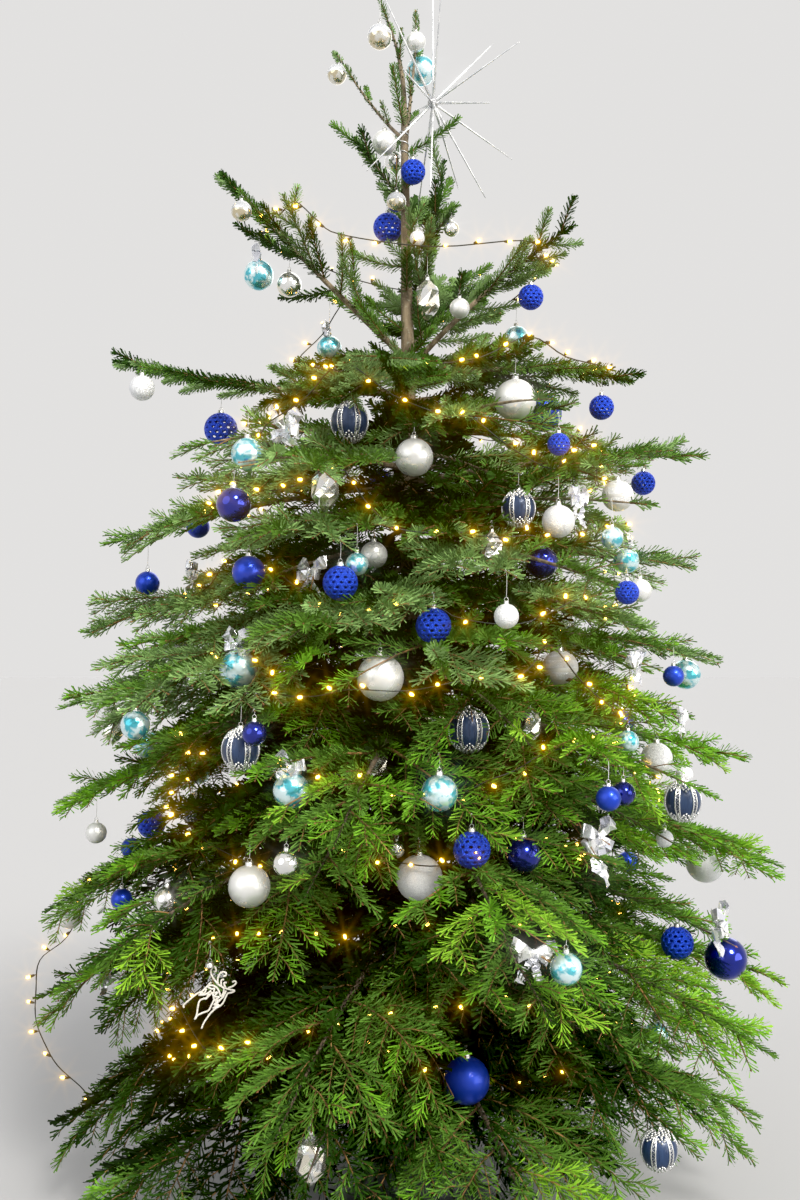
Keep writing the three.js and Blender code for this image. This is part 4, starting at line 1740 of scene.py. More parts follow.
class Bauble:
    """A plain ball. Other kinds add to it or take its place."""

    sides = 28
    rings = 14
    tall = 1.0
    smooth = True

    def __init__(self, kind: "Kind", *finishes: Any) -> None:
        """Starts the piece that joins all baubles of this kind."""
        self.kind, self.mesh, self.finishes = kind, Mesh(kind.value), finishes

    def top(self, radius: float) -> float:
        """How high its top is over its middle."""
        return radius * self.tall

    def ball(self, centre: Array, radius: float) -> Form:
        """A ball: the quads of its rows, then its foot and its top."""
        return moved(revolve(arc(radius, self.rings, self.tall), self.sides), centre)

    def add(self, centre: Array, radius: float, facing: Array) -> None:
        """Adds one bauble that faces outwards."""
        self.mesh.add(*self.ball(centre, radius))

    def build(self) -> None:
        """Makes the piece."""
        if self.mesh.faces:
            self.mesh.build([finish.material() for finish in self.finishes], self.smooth)


class Lattice(Bauble):
    """An openwork ball of glittering mesh with round holes."""

    columns = 13
    rows = 9
    corner = 8
    hole = (0.17, 0.33)
    wall = 2.0
    cap = 0.2

    def add(self, centre: Array, radius: float, facing: Array) -> None:
        """Adds one ball, cell by cell."""
        low = -pi / 2 + self.cap
        tall = (pi - 2 * self.cap) / self.rows
        wide = 2 * pi / self.columns
        spots = np.arange(self.corner) * 2 * pi / self.corner
        square = np.clip(np.stack([np.cos(spots), np.sin(spots)], axis=-1) * 1.42, -1, 1) / 2
        hole = np.stack([np.cos(spots), np.sin(spots)], axis=-1)
        cells = [((column + 0.5 * (row % 2)) * wide, low + (row + 0.5) * tall)
                 for row, column in product(range(self.rows), range(self.columns))]
        middle = np.array(cells)[:, None, :]
        size = np.array([wide, tall])
        open_share = mix(*self.hole, np.random.default_rng(17).random(len(cells)))[:, None, None]
        rim = middle + hole * size * open_share
        rims = [(middle + square * size, radius), (rim, radius), (rim, radius - self.wall)]
        vertices = np.stack([self.on_ball(angles, reach) for angles, reach in rims], axis=1)
        count = len(cells)
        quads = grid_faces(3, self.corner)[None] + (np.arange(count) * 3 * self.corner)[:, None, None]
        self.mesh.add(vertices.reshape(-1, 3) + centre, [quads.reshape(-1, 4)])
        for sign in (1, -1):
            polar = [(radius * sin(a), radius * cos(a)) for a in (self.cap * 1.25, self.cap * 0.6)]
            plate = [(0.0, radius * cos(self.cap * 1.25) - 1)] + polar + [(0.0, radius)]
            self.mesh.turn(plate, 12, centre, axes_along(UP * sign))

    @staticmethod
    def on_ball(angles: Array, radius: float) -> Array:
        """The points of a ball at longitudes and latitudes."""
        longitude, latitude = angles[..., 0], angles[..., 1]
        level = np.cos(latitude)
        ways = [level * np.cos(longitude), level * np.sin(longitude), np.sin(latitude)]
        return radius * np.stack(ways, axis=-1)


class SatinBall(Bauble):
    """A ball wound with satin, with silver cords from pole to pole and bead lace at both ends."""

    tall = 1.1
    sides = 36
    cords = 6
    crossings = 27
    cord_gap = 0.12
    lace = ((0.6, 12, 2.2), (0.7, 18, 2.3), (0.8, 24, 2.2), (0.92, 14, 3.2), (1.04, 16, 2.9),
            (1.16, 12, 3.0), (1.32, 8, 3.2))

    def add(self, centre: Array, radius: float, facing: Array) -> None:
        """Adds one ball with its cords and beads."""
        vertices, faces = revolve(arc(radius, self.rings, self.tall), self.sides)
        ribs = 1 - 0.012 * np.abs(np.cos(12 * np.arctan2(vertices[:, 1], vertices[:, 0])))
        vertices = vertices * np.stack([ribs, ribs, np.ones_like(ribs)], axis=-1)
        self.mesh.add(vertices + centre, faces, 0)
        bead = arc(1.0, 3)
        latitudes = np.linspace(-1.2, 1.2, 13)
        for number in range(2 * self.cords):
            longitude = 2 * pi * (number // 2) / self.cords + self.cord_gap * (1 if number % 2 else -1)
            path = self.meridian(longitude, latitudes, radius + 0.4)
            self.mesh.add(*moved(tube(path, 1.5, 4, quarter_on(level_way(longitude))), centre), 1)
        across = np.resize([-0.9, 0.9], self.crossings) * self.cord_gap
        for number in range(self.cords):
            longitudes = 2 * pi * number / self.cords + across
            path = self.meridian(longitudes, np.linspace(-1.1, 1.1, self.crossings), radius + 1.0)
            self.mesh.add(*moved(tube(path, 0.9, 3, vec(0.3, 0.2, 1)), centre), 1)
        for latitude, count, size in self.lace:
            sized = [(r * size, h * size) for r, h in bead]
            for sign, number in product((1, -1), range(count)):
                longitude = 2 * pi * (number + 0.5 * (latitude > 0.9)) / count
                spot = self.meridian(longitude, np.array([sign * latitude]), radius + 0.6)[0]
                self.mesh.turn(sized, 5, centre + spot, finish=1)

    def meridian(self, longitudes: Any, latitudes: Array, radius: float) -> Array:
        """Points along a line from pole to pole."""
        level = np.cos(latitudes)
        return np.stack([radius * level * np.cos(longitudes), radius * level * np.sin(longitudes),
                         radius * self.tall * np.sin(latitudes)], axis=-1)


class Striped(Bauble):
    """A ball with level bands of glitter."""

    bands = (3, 4, 6, 7, 9, 10)

    def add(self, centre: Array, radius: float, facing: Array) -> None:
        """Adds one ball, with the bands in a finish of their own."""
        vertices, (quads, foot, top) = self.ball(centre, radius)
        banded = np.isin(np.arange(len(quads)) // self.sides, self.bands)
        self.mesh.add(vertices, [quads[~banded], foot, top, quads[banded]], (0, 0, 0, 1))


class Clear(Bauble):
    """A clear ball that is silvered inside its lower part."""

    silvered = 6

    def add(self, centre: Array, radius: float, facing: Array) -> None:
        """Adds one ball, with the silvered part in a finish of its own."""
        vertices, (quads, foot, top) = self.ball(centre, radius)
        low = np.arange(len(quads)) // self.sides < self.silvered
        self.mesh.add(vertices, [quads[~low], top, quads[low], foot], (0, 0, 1, 1))


class Drop(Bauble):
    """A cut drop with flat facets."""

    sides = 8
    smooth = False
    tall = 1.6
    profile = ((0, -1.75), (0.5, -1.35), (0.94, -0.8), (1.0, -0.55), (1.0, 0.6), (0.78, 1.05), (0.3, 1.5),
               (0, 1.6))

    def add(self, centre: Array, radius: float, facing: Array) -> None:
        """Adds one drop, with each row of facets turned half a facet from the next."""
        line = [(r * radius, h * radius) for r, h in self.profile]
        vertices, faces = revolve(line, self.sides)
        rows = np.arange(len(vertices)) // self.sides
        twist = np.where(rows < len(line) - 2, rows % 2, 0) * pi / self.sides
        cosine, sine = np.cos(twist), np.sin(twist)
        turned_points = np.stack([vertices[:, 0] * cosine - vertices[:, 1] * sine,
                                  vertices[:, 0] * sine + vertices[:, 1] * cosine, vertices[:, 2]], axis=-1)
        self.mesh.add(turned_points + centre, faces)


class Deer(Bauble):
    """A flat leaping reindeer of white wire and lace."""

    tall = 0.9
    wire = 1.9
    strokes = (
        ((3, 29), (-4, 22), (4, 23), (13, 19), (18, 11), (21, 2), (26, 9), (27, 18)),
        ((-4, 22), (-14, 12), (-23, 8), (-37, -3), (-49, -14), (-48, -19)),
        ((3, 13), (-8, 6), (-21, 5)),
        ((5, 10), (-5, 0), (-18, -5), (-22, -17), (-24, -31), (-28, -41)),
        ((5, 10), (8, -3), (4, -13), (-2, -24), (-12, -28), (-22, -33), (-27, -40)),
        ((34, 8), (30, 0), (27, -7), (22, -14), (12, -20), (3, -28), (-4, -37), (-11, -48), (-15, -58)),
        ((27, 18), (39, 15), (47, 13), (43, 10), (34, 8)),
        ((27, 18), (16, 25), (7, 36), (2, 47), (5, 56), (10, 57), (12, 50), (8, 48)),
        ((16, 25), (15, 33), (18, 43), (24, 48), (31, 46), (30, 41), (25, 40)),
        ((22, 21), (22, 32), (27, 34)),
        ((35, 18), (45, 22), (50, 28), (47, 31), (43, 29)),
        ((30, 18), (27, 27), (32, 28)),
        ((-4, 20), (4, 16), (9, 17), (8, 9), (15, 10), (9, 2), (18, 1), (9, -6), (20, -5), (8, -13),
         (18, -14), (6, -20)),
        ((31, 13), (26, 2), (21, -3), (14, -11), (10, -20)),
        ((-6, 17), (-10, 8), (-15, 9), (-19, 5)),
        ((2, 6), (-3, 5), (-6, -2), (-12, -1)),
    )

    def add(self, centre: Array, radius: float, facing: Array) -> None:
        """Adds one figure, as strokes of flat wire."""
        across = unit(np.cross(UP, facing))
        scale = radius / 66
        for stroke in self.strokes:
            flat = smooth_path([(x, y, 0) for x, y in stroke], 4) * scale
            path = centre + flat[:, :1] * across + flat[:, 1:2] * UP
            self.mesh.add(*tube(path, self.wire * scale, 6, facing, 0.8))


@dataclass
class Bow:
    """A bow of crumpled foil ribbon: loops, a knot and two tails, each bow folded its own way."""

    width: float = 24
    crumple: float = 0.075
    crease: float = 2.4
    thickness: float = 0.5
    pinch: float = 0.3
    loops: tuple[Triple, ...] = ((1, 24, 1.0), (-1, 32, 0.95), (1, -22, 0.72), (-1, -14, 0.78))
    tails: tuple[Pair, ...] = ((-64, 1.35), (-112, 1.1))
    steps: int = 12

    def add(self, mesh: Mesh, centre: Array, size: float, facing: Array) -> None:
        """Adds one bow that faces outwards.

        Args:
            mesh: the piece that takes it.
            centre: where its knot is.
            size: how far its loops reach to either side.
            facing: the level direction that it faces.
        """
        across = unit(np.cross(UP, facing))
        share = np.linspace(0.0, 1.0, self.steps)[:, None]
        random = np.random.default_rng(int(abs(centre[0]) * 7 + centre[2] * 3))
        width = min(self.width, size * 0.62) * (self.pinch + (1 - self.pinch) * np.sin(pi * share[:, 0]))
        strips = [(radians(90 - side * (90 - rise)), reach, True) for side, rise, reach in self.loops]
        strips += [(radians(angle), reach, False) for angle, reach in self.tails]
        for angle, reach, looped in strips:
            angle, reach = angle + random.uniform(-0.3, 0.3), reach * random.uniform(0.75, 1.2)
            out = leant(across, UP, angle)
            crumpled = self.crumple * facing * random.uniform(-1, 1, (self.steps, 1))
            if looped:
                line = reach * out * np.sin(pi * share) + 0.2 * facing * np.sin(2 * pi * share)
            else:
                line = 1.15 * reach * out * share + facing * 0.1 * np.sin(self.crease * pi * share)
            leans = np.cross(facing, out) + facing * random.uniform(-0.7, 0.7, (self.steps, 1))
            wide = width if looped else width.max() * (0.5 + 0.3 * share[:, 0])
            path = centre + size * (line + crumpled) + facing * 1.5
            mesh.add(*band(path, leans, wide, self.thickness))
        mesh.turn(arc(width.max() * 0.26, 4, 1.2), 7, centre + facing * 2)


@dataclass
class Hanger:
    """The crimped cap, wire loop and thread that hang a bauble from its twig."""

    cap_share: float = 0.2
    cap_height: float = 6
    loop_radius: float = 3.2
    wire: float = 0.5
    hook: float = 17

    def add(self, caps: Mesh, threads: Mesh, top: Array, radius: float, twig: Array) -> None:
        """Adds one hanger.

        Args:
            caps: the piece of all caps.
            threads: the piece of all threads.
            top: the bauble's top.
            radius: the bauble's radius.
            twig: the point of the twig that carries it.
        """
        cap = min(7.0, max(3.2, self.cap_share * radius))
        rise = self.cap_height * min(1.0, radius / 25)
        profile = [(cap * 1.12, -1.5), (cap, 0), (cap * 0.96, rise - 0.8), (cap * 0.8, rise), (0, rise)]
        caps.turn([(0, -1.5)] + profile, 16, top)
        angles = np.linspace(0, 2 * pi, 11)
        ring = np.stack([self.loop_radius * np.cos(angles), 0 * angles,
                         rise + self.loop_radius * (0.8 + np.sin(angles))], axis=-1)
        caps.add(*tube(top + ring, self.wire, 4, vec(0, 1, 0)))
        low = top + UP * (rise + 1.6 * self.loop_radius)
        peak = twig + UP * 3
        path = smooth_path([low, mix(low, peak, 0.5) + vec(0.8, 0, 0), peak, peak - vec(2.5, 0, 5)], 3)
        threads.add(*tube(path, 0.55, 4, vec(0, 1, 0)))


class Kind(Enum):
    """The kinds of ornament."""

    PEARL = "baubles_pearl"
    FROST = "baubles_silver_glitter"
    LATTICE = "baubles_royal_lattice"
    MERCURY = "baubles_aqua_mottled"
    SATIN = "baubles_navy_satin"
    ROYAL = "baubles_royal_matt"
    NAVY = "baubles_navy_shiny"
    MIRROR = "baubles_mirror"
    CLEAR = "baubles_clear"
    STRIPED = "baubles_striped"
    DROP = "crystal_drops"
    DEER = "reindeer"
    BOW = "ribbon"


@dataclass(frozen=True)
class Place:
    """Where the photograph shows an ornament, and how wide, in pixels of its 800 x 1200 frame."""

    kind: Kind
    across: int
    down: int
    wide: int
    bow: bool = False
    tucked: bool = False


SHOWN: dict[Kind, tuple[tuple[int, int, int], ...]] = {
    Kind.CLEAR: ((374, 39, 26), (335, 75, 20), (392, 203, 20), (254, 197, 22)),
    Kind.PEARL: ((419, 41, 21), (382, 145, 26), (450, 306, 19), (514, 400, 41), (414, 458, 40),
        (648, 589, 22), (381, 668, 45), (246, 886, 45), (103, 832, 20)),
    Kind.MERCURY: ((443, 69, 28), (253, 277, 31), (326, 350, 26), (241, 455, 35), (357, 564, 24),
        (615, 539, 25), (634, 562, 28), (435, 791, 36), (294, 785, 34), (620, 739, 22), (240, 660, 37),
        (566, 966, 32)),
    Kind.MIRROR: ((400, 150, 18), (457, 229, 17), (292, 287, 27), (291, 861, 26), (165, 895, 30),
        (395, 838, 10)),
    Kind.LATTICE: ((416, 157, 27), (382, 229, 29), (530, 296, 26), (216, 430, 32), (337, 582, 35),
        (627, 587, 26), (431, 624, 34), (472, 847, 35), (675, 935, 33)),
    Kind.FROST: ((423, 239, 15), (139, 389, 27), (556, 522, 35), (507, 616, 28), (651, 759, 33),
        (690, 772, 14), (668, 839, 20), (416, 877, 47)),
    Kind.DROP: ((429, 293, 24), (326, 474, 26), (493, 541, 20), (530, 711, 22), (375, 758, 20),
        (306, 1145, 28)),
    Kind.BOW: ((284, 420, 40), (190, 575, 24), (312, 569, 34), (575, 505, 30), (627, 661, 32),
        (693, 704, 20), (599, 840, 48), (530, 961, 38), (707, 917, 40)),
    Kind.SATIN: ((351, 416, 37), (520, 508, 35), (470, 726, 40), (684, 798, 36), (243, 747, 39),
        (656, 1139, 38)),
    Kind.ROYAL: ((150, 585, 26), (669, 675, 19), (600, 796, 24), (460, 1081, 51)),
    Kind.STRIPED: ((614, 496, 32), (555, 665, 36)),
    Kind.NAVY: ((543, 557, 32), (627, 793, 26), (522, 855, 38), (250, 726, 26), (736, 951, 42)),
    Kind.DEER: ((206, 994, 60),),
}
TUCKED: dict[Kind, tuple[tuple[int, int, int], ...]] = {
    Kind.MERCURY: ((511, 339, 24), (141, 723, 27), (144, 744, 26)),
    Kind.NAVY: ((235, 503, 33),),
    Kind.ROYAL: ((248, 570, 36), (542, 415, 43), (120, 847, 21), (122, 900, 24)),
    Kind.PEARL: ((373, 547, 27), (181, 645, 25)),
    Kind.LATTICE: ((601, 408, 24), (561, 444, 23)),
    Kind.MIRROR: ((439, 719, 35),),
    Kind.SATIN: ((206, 808, 37),),
    Kind.STRIPED: ((490, 1077, 30),),
}
TIED = {(253, 277), (326, 350), (634, 562), (294, 785), (240, 660)}


@dataclass
class View:
    """The photograph's camera, which also places what it shows."""

    place: Array = field(default_factory=lambda: vec(-40, -2420, 1080))
    pitch: float = 2.4
    focal: float = 1195.0
    image: tuple[int, int] = (800, 1200)
    sensor: float = 36.0

    def axes(self) -> tuple[Array, Array]:
        """The directions forward and up."""
        angle = radians(self.pitch)
        return vec(0, cos(angle), sin(angle)), vec(0, -sin(angle), cos(angle))

    def pixels(self, points: Array) -> tuple[Array, Array]:
        """Where points fall in the frame, in pixels, and how far forward they are."""
        forward, up = self.axes()
        offset = points - self.place
        depth = offset @ forward
        across = self.image[0] / 2 + self.focal * offset[:, 0] / depth
        down = self.image[1] / 2 - self.focal * (offset @ up) / depth
        return np.stack([across, down], axis=-1), depth

    def point(self, across: float, down: float, depth: float) -> Array:
        """The point at a pixel, so far forward."""
        forward, up = self.axes()
        level = (across - self.image[0] / 2) / self.focal
        rise = (self.image[1] / 2 - down) / self.focal
        return self.place + depth * (forward + level * vec(1, 0, 0) + rise * up)

    def camera(self) -> None:
        """Makes the scene's camera."""
        data = bpy.data.cameras.new("camera")
        data.sensor_width = self.sensor
        data.lens = self.focal * self.sensor / max(self.image)
        camera = linked("camera", data)
        camera.location = self.place * MM
        camera.rotation_euler = (radians(90 + self.pitch), 0, 0)
        bpy.context.scene.camera = camera


@dataclass
class Hung:
    """One ornament that has found its twig."""

    kind: Kind
    centre: Array
    radius: float
    twig: Array
    bow: bool = False
    shown: bool = False


@dataclass
class Trimming:
    """All ornaments: where they hang, and their pieces."""

    foliage: Foliage
    view: View = field(default_factory=View)
    sizes: tuple[float, ...] = (30, 40, 50, 60, 70, 80)
    deer_size: float = 112
    hanger: Hanger = field(default_factory=Hanger)
    windows: tuple[float, ...] = (1.0, 2.0, 3.5)
    foremost: Pair = (4, 25)
    tries: int = 60
    others: int = 78
    front: float = 94
    round_heights: Pair = (2040, 260)
    hung: list[Hung] = field(default_factory=list)
    tall: ClassVar[dict[Kind, float]] = {Kind.SATIN: SatinBall.tall, Kind.DROP: Drop.tall,
                                         Kind.DEER: Deer.tall, Kind.BOW: 0.0}
    round_kinds: ClassVar[tuple[tuple[Kind, float], ...]] = (
        (Kind.PEARL, 60), (Kind.LATTICE, 50), (Kind.MERCURY, 60), (Kind.SATIN, 70), (Kind.NAVY, 60),
        (Kind.FROST, 80), (Kind.ROYAL, 50), (Kind.MIRROR, 40), (Kind.MERCURY, 50), (Kind.DROP, 50),
        (Kind.LATTICE, 60), (Kind.STRIPED, 50), (Kind.BOW, 60),
    )

    @staticmethod
    def makers() -> dict[Kind, Bauble]:
        """The maker of each kind, with its finishes."""
        silver = Metal("bauble_silver", (0.86, 0.86, 0.84), None, 1.0, 0.12, 30)
        mirror = replace(silver, name="mirror", second=(0.8, 0.7, 0.42), roughness=0.05, edge=(0.5, 0.7))
        pearl = Metal("pearl", (0.8, 0.8, 0.78), (0.74, 0.74, 0.72), 0.55, 0.27, 25)
        lacquer = Metal("white_lacquer", (0.78, 0.77, 0.74), None, 0.25, 0.3, 20)
        royal_matt = Metal("royal_matt", (0.008, 0.05, 0.5), None, 0.6, 0.3, 20, coat=0.2)
        navy = Metal("navy_shiny", (0.012, 0.025, 0.28), None, 0.9, 0.06, 20, coat=0.5)
        aqua = Metal("aqua_mottled", (0.08, 0.48, 0.58), (0.72, 0.89, 0.91), 0.7, 0.13, 60,
                     (0.4, 0.54), 0.25)
        beads = Metal("bead_silver", (0.84, 0.84, 0.83), None, 0.9, 0.22, 200)
        silvering = Metal("silvering", (0.66, 0.58, 0.4), (0.8, 0.78, 0.7), 0.9, 0.1, 70)
        facets = Metal("cut_silver", (0.8, 0.8, 0.79), (0.9, 0.85, 0.72), 0.9, 0.08, 60)
        satin = Satin("navy_satin", (0.006, 0.014, 0.045), (0.025, 0.06, 0.145))
        frost = Glitter("silver_glitter", (0.8, 0.81, 0.83), (1.0, 1.0, 1.0), 850, 1.2, 0.5)
        royal = Glitter("royal_glitter", (0.005, 0.04, 0.5), (0.04, 0.16, 1.0), 900, 1.0, 0.7)
        white = Glitter("white_glitter", (0.72, 0.68, 0.6), (0.95, 0.93, 0.88), 900, 0.8, 0.15)
        makers = (
            Bauble(Kind.PEARL, pearl), Bauble(Kind.FROST, frost), Lattice(Kind.LATTICE, royal),
            Bauble(Kind.MERCURY, aqua), SatinBall(Kind.SATIN, satin, beads), Bauble(Kind.ROYAL, royal_matt),
            Bauble(Kind.NAVY, navy), Bauble(Kind.MIRROR, mirror),
            Clear(Kind.CLEAR, ClearGlass("clear_glass"), silvering), Striped(Kind.STRIPED, lacquer, frost),
            Drop(Kind.DROP, facets), Deer(Kind.DEER, white),
        )
        return {maker.kind: maker for maker in makers}

    def size(self, kind: Kind, pixels: float, depth: float) -> float:
        """The real width, of those that such ornaments have, that looks as wide as the photograph's."""
        if kind is Kind.DEER:
            return self.deer_size
        seen = pixels * depth / self.view.focal
        return min(self.sizes, key=lambda size: abs(size - seen))

    def hang_all(self) -> None:
        """Finds a twig for each ornament: first those of the photograph, then those round the back."""
        spots, owners = self.foliage.points()
        pixels, depth = self.view.pixels(spots)
        for tucked, table in ((False, SHOWN), (True, TUCKED)):
            places = [Place(kind, across, down, wide, (across, down) in TIED, tucked)
                      for kind, group in table.items() for across, down, wide in group]
            for place in sorted(places, key=lambda place: -place.wide):
                self.hang_front(place, spots, owners, pixels, depth)
        self.hang_round(spots, owners)
        self.foliage.settle()

    def free(self, centre: Array, radius: float) -> bool:
        """Whether nothing hung so far is in the way, nor the trunk."""
        out = hypot(centre[0] - float(TRUNK.axis(centre[2])[0]), centre[1])
        clear_of_trunk = out > float(TRUNK.radius(centre[2])) + radius + 2
        return clear_of_trunk and all(
            norm(other.centre - centre) > other.radius + radius + 1.5 for other in self.hung)

    def settle(self, kind: Kind, twig: Array, radius: float, number: int, bow: bool,
               thread: float = 0.0) -> bool:
        """Hangs an ornament from a twig, if there is room.

        Args:
            kind: its kind.
            twig: the point that carries it.
            radius: half its width.
            number: the number of the twig.
            bow: whether a ribbon is tied over it.
            thread: how much longer than usual its thread is.

        Returns:
            Whether it hangs there.
        """
        tall = self.tall.get(kind, Bauble.tall)
        centre = twig - UP * (radius * tall + (self.hanger.hook + thread if tall else 2.0))
        lowest = centre[2] - radius * (1.5 if kind is Kind.DROP else 1.15)
        if lowest < 4 or not self.free(centre, radius):
            return False
        self.hung.append(Hung(kind, centre, radius, twig, bow))
        self.foliage.keep(number)
        return True

    def hang_front(self, place: Place, spots: Array, owners: Array, pixels: Array, depth: Array) -> None:
        """Hangs an ornament where the photograph shows it, on the foremost twig that is there.

        Args:
            place: where it is shown.
            spots: points along all twigs.
            owners: the number of the twig of each point.
            pixels: where the points fall in the frame.
            depth: how far forward they are.
        """
        lift = 0.0 if place.kind is Kind.BOW else place.wide / 2 + 9
        aside = np.abs(pixels[:, 0] - place.across)
        above = place.down - lift - pixels[:, 1]
        for reach in self.windows:
            near = np.flatnonzero((aside < 12 * reach) & (above > -9 * reach) & (above < 22 * reach))
            if len(near) == 0:
                continue
            gap = np.abs(depth[near] - np.percentile(depth[near], self.foremost[place.tucked]))
            score = (aside[near] / 6) ** 2 + (above[near] / 14) ** 2 + gap / 35
            for pick in near[np.argsort(score)][:self.tries]:
                radius = self.size(place.kind, place.wide, depth[pick]) / 2
                thread = max(0.0, above[pick]) * depth[pick] / self.view.focal
                if self.settle(place.kind, spots[pick], radius, int(owners[pick]), place.bow, thread):
                    if not place.tucked:
                        self.hung[-1].shown = True
                        self.foliage.open_view(self.view, self.hung[-1].centre, radius)
                    return
        LOG.info("no room for %s at %d, %d", place.kind.value, place.across, place.down)

    def hang_round(self, spots: Array, owners: Array) -> None:
        """Hangs the rest round the sides and back, evenly by a golden angle.

        Args:
            spots: points along all twigs.
            owners: the number of the twig of each point.
        """
        azimuth_of = np.degrees(np.arctan2(spots[:, 1], spots[:, 0]))
        out = np.hypot(spots[:, 0], spots[:, 1])
        kinds = self.round_kinds
        for number in range(self.others):
            azimuth = (Whorls.golden_angle * number) % 360
            if apart(azimuth, 270) < self.front:
                continue
            height = mix(*self.round_heights, sqrt((number + 0.5) / self.others))
            near = np.flatnonzero((apart(azimuth_of, azimuth) < 12) & (np.abs(spots[:, 2] - height) < 70))
            kind, width = kinds[(5 * number + number // len(kinds)) % len(kinds)]
            bow = number % 4 == 0 and kind is Kind.MERCURY
            for pick in near[np.argsort(-out[near])][6:self.tries:3]:
                if self.settle(kind, spots[pick], width / 2, int(owners[pick]), bow):
                    break

    def build(self) -> None:
        """Makes the pieces of all ornaments."""
        makers = self.makers()
        caps, threads, ribbons = Mesh("bauble_caps"), Mesh("bauble_threads"), Mesh("ribbons")
        bow = Bow()
        for one in self.hung:
            level = one.centre * vec(1, 1, 0)
            facing = unit(level if norm(level) > 120 else vec(0, -1, 0))
            if one.kind is Kind.BOW:
                bow.add(ribbons, one.centre + facing * 8, one.radius * 1.25, facing)
                continue
            maker = makers[one.kind]
            maker.add(one.centre, one.radius, vec(0, -1, 0) if one.kind is Kind.DEER else facing)
            top = one.centre + UP * maker.top(one.radius)
            self.hanger.add(caps, threads, top - UP * 0.4, one.radius, one.twig)
            if one.bow:
                bow.add(ribbons, top + UP * 7 + facing * 4, one.radius * 1.05, facing)
        for maker in makers.values():
            maker.build()
        caps.build([Metal("cap_silver", (0.8, 0.79, 0.76), None, 1.0, 0.3, 80).material()])
        threads.build([Moulding("thread", (0.62, 0.62, 0.6), 0.5, 0.05).material()])
        foil = Metal("silver_ribbon", (0.72, 0.73, 0.8), (0.9, 0.9, 0.9), 0.7, 0.22, 45)
        ribbons.build([foil.material()], smooth=False)


@dataclass
class Starburst:
    """The tree top: thin silver rays round a small ball, on a wire that winds round the leader."""

    centre: Array = field(default_factory=lambda: vec(27, -42, 2188))
    reach: float = 214
    foot: float = 2.9
    tip: float = 1.1
    hub: float = 11
    wire: float = 1.1
    tips: tuple[Pair, ...] = (
        (0, 213), (-23, 138), (12, 158), (129, 158), (164, 64), (171, -73), (102, -79), (111, -170),
        (-7, -202), (-29, -172), (9, -120), (-149, -76), (-134, -160), (-50, 67), (-96, 150), (44, 20),
        (-62, -30), (60, -110),
    )

    def build(self, silver: Material, glitter: Material) -> None:
        """Makes the star and its holder."""
        mesh = Mesh("star")
        mesh.turn(arc(self.hub, 10), 18, self.centre, finish=1)
        length = self.reach
        for number, (aside, above) in enumerate(self.tips):
            depth = sqrt(length ** 2 - aside ** 2 - above ** 2) * (1 if number % 2 else -1)
            direction = vec(aside, depth, above) / length
            ray = [(0, 0), (self.foot, self.hub * 0.8), (mix(self.foot, self.tip, 0.5), length * 0.5),
                   (self.tip, length - 2), (0, length)]
            mesh.turn(ray, 6, self.centre, axes_along(direction))
            mesh.turn(arc(2.2, 4), 8, self.centre + direction * length * 0.24, finish=1)
        axis = TRUNK.axis(self.centre[2] - 60)
        radius = float(TRUNK.radius(axis[2])) + self.wire
        turns = np.linspace(0, 5 * pi, 46)
        coil = np.stack([axis[0] + radius * np.cos(turns), -radius * np.sin(turns),
                         axis[2] - 30 + 3.2 * turns], axis=-1)
        reach = smooth_path([coil[-1], mix(coil[-1], self.centre, 0.5) - UP * 8, self.centre], 6)
        mesh.add(*tube(np.vstack([coil, reach[1:]]), self.wire, 6), 0)
        mesh.build([silver, glitter])


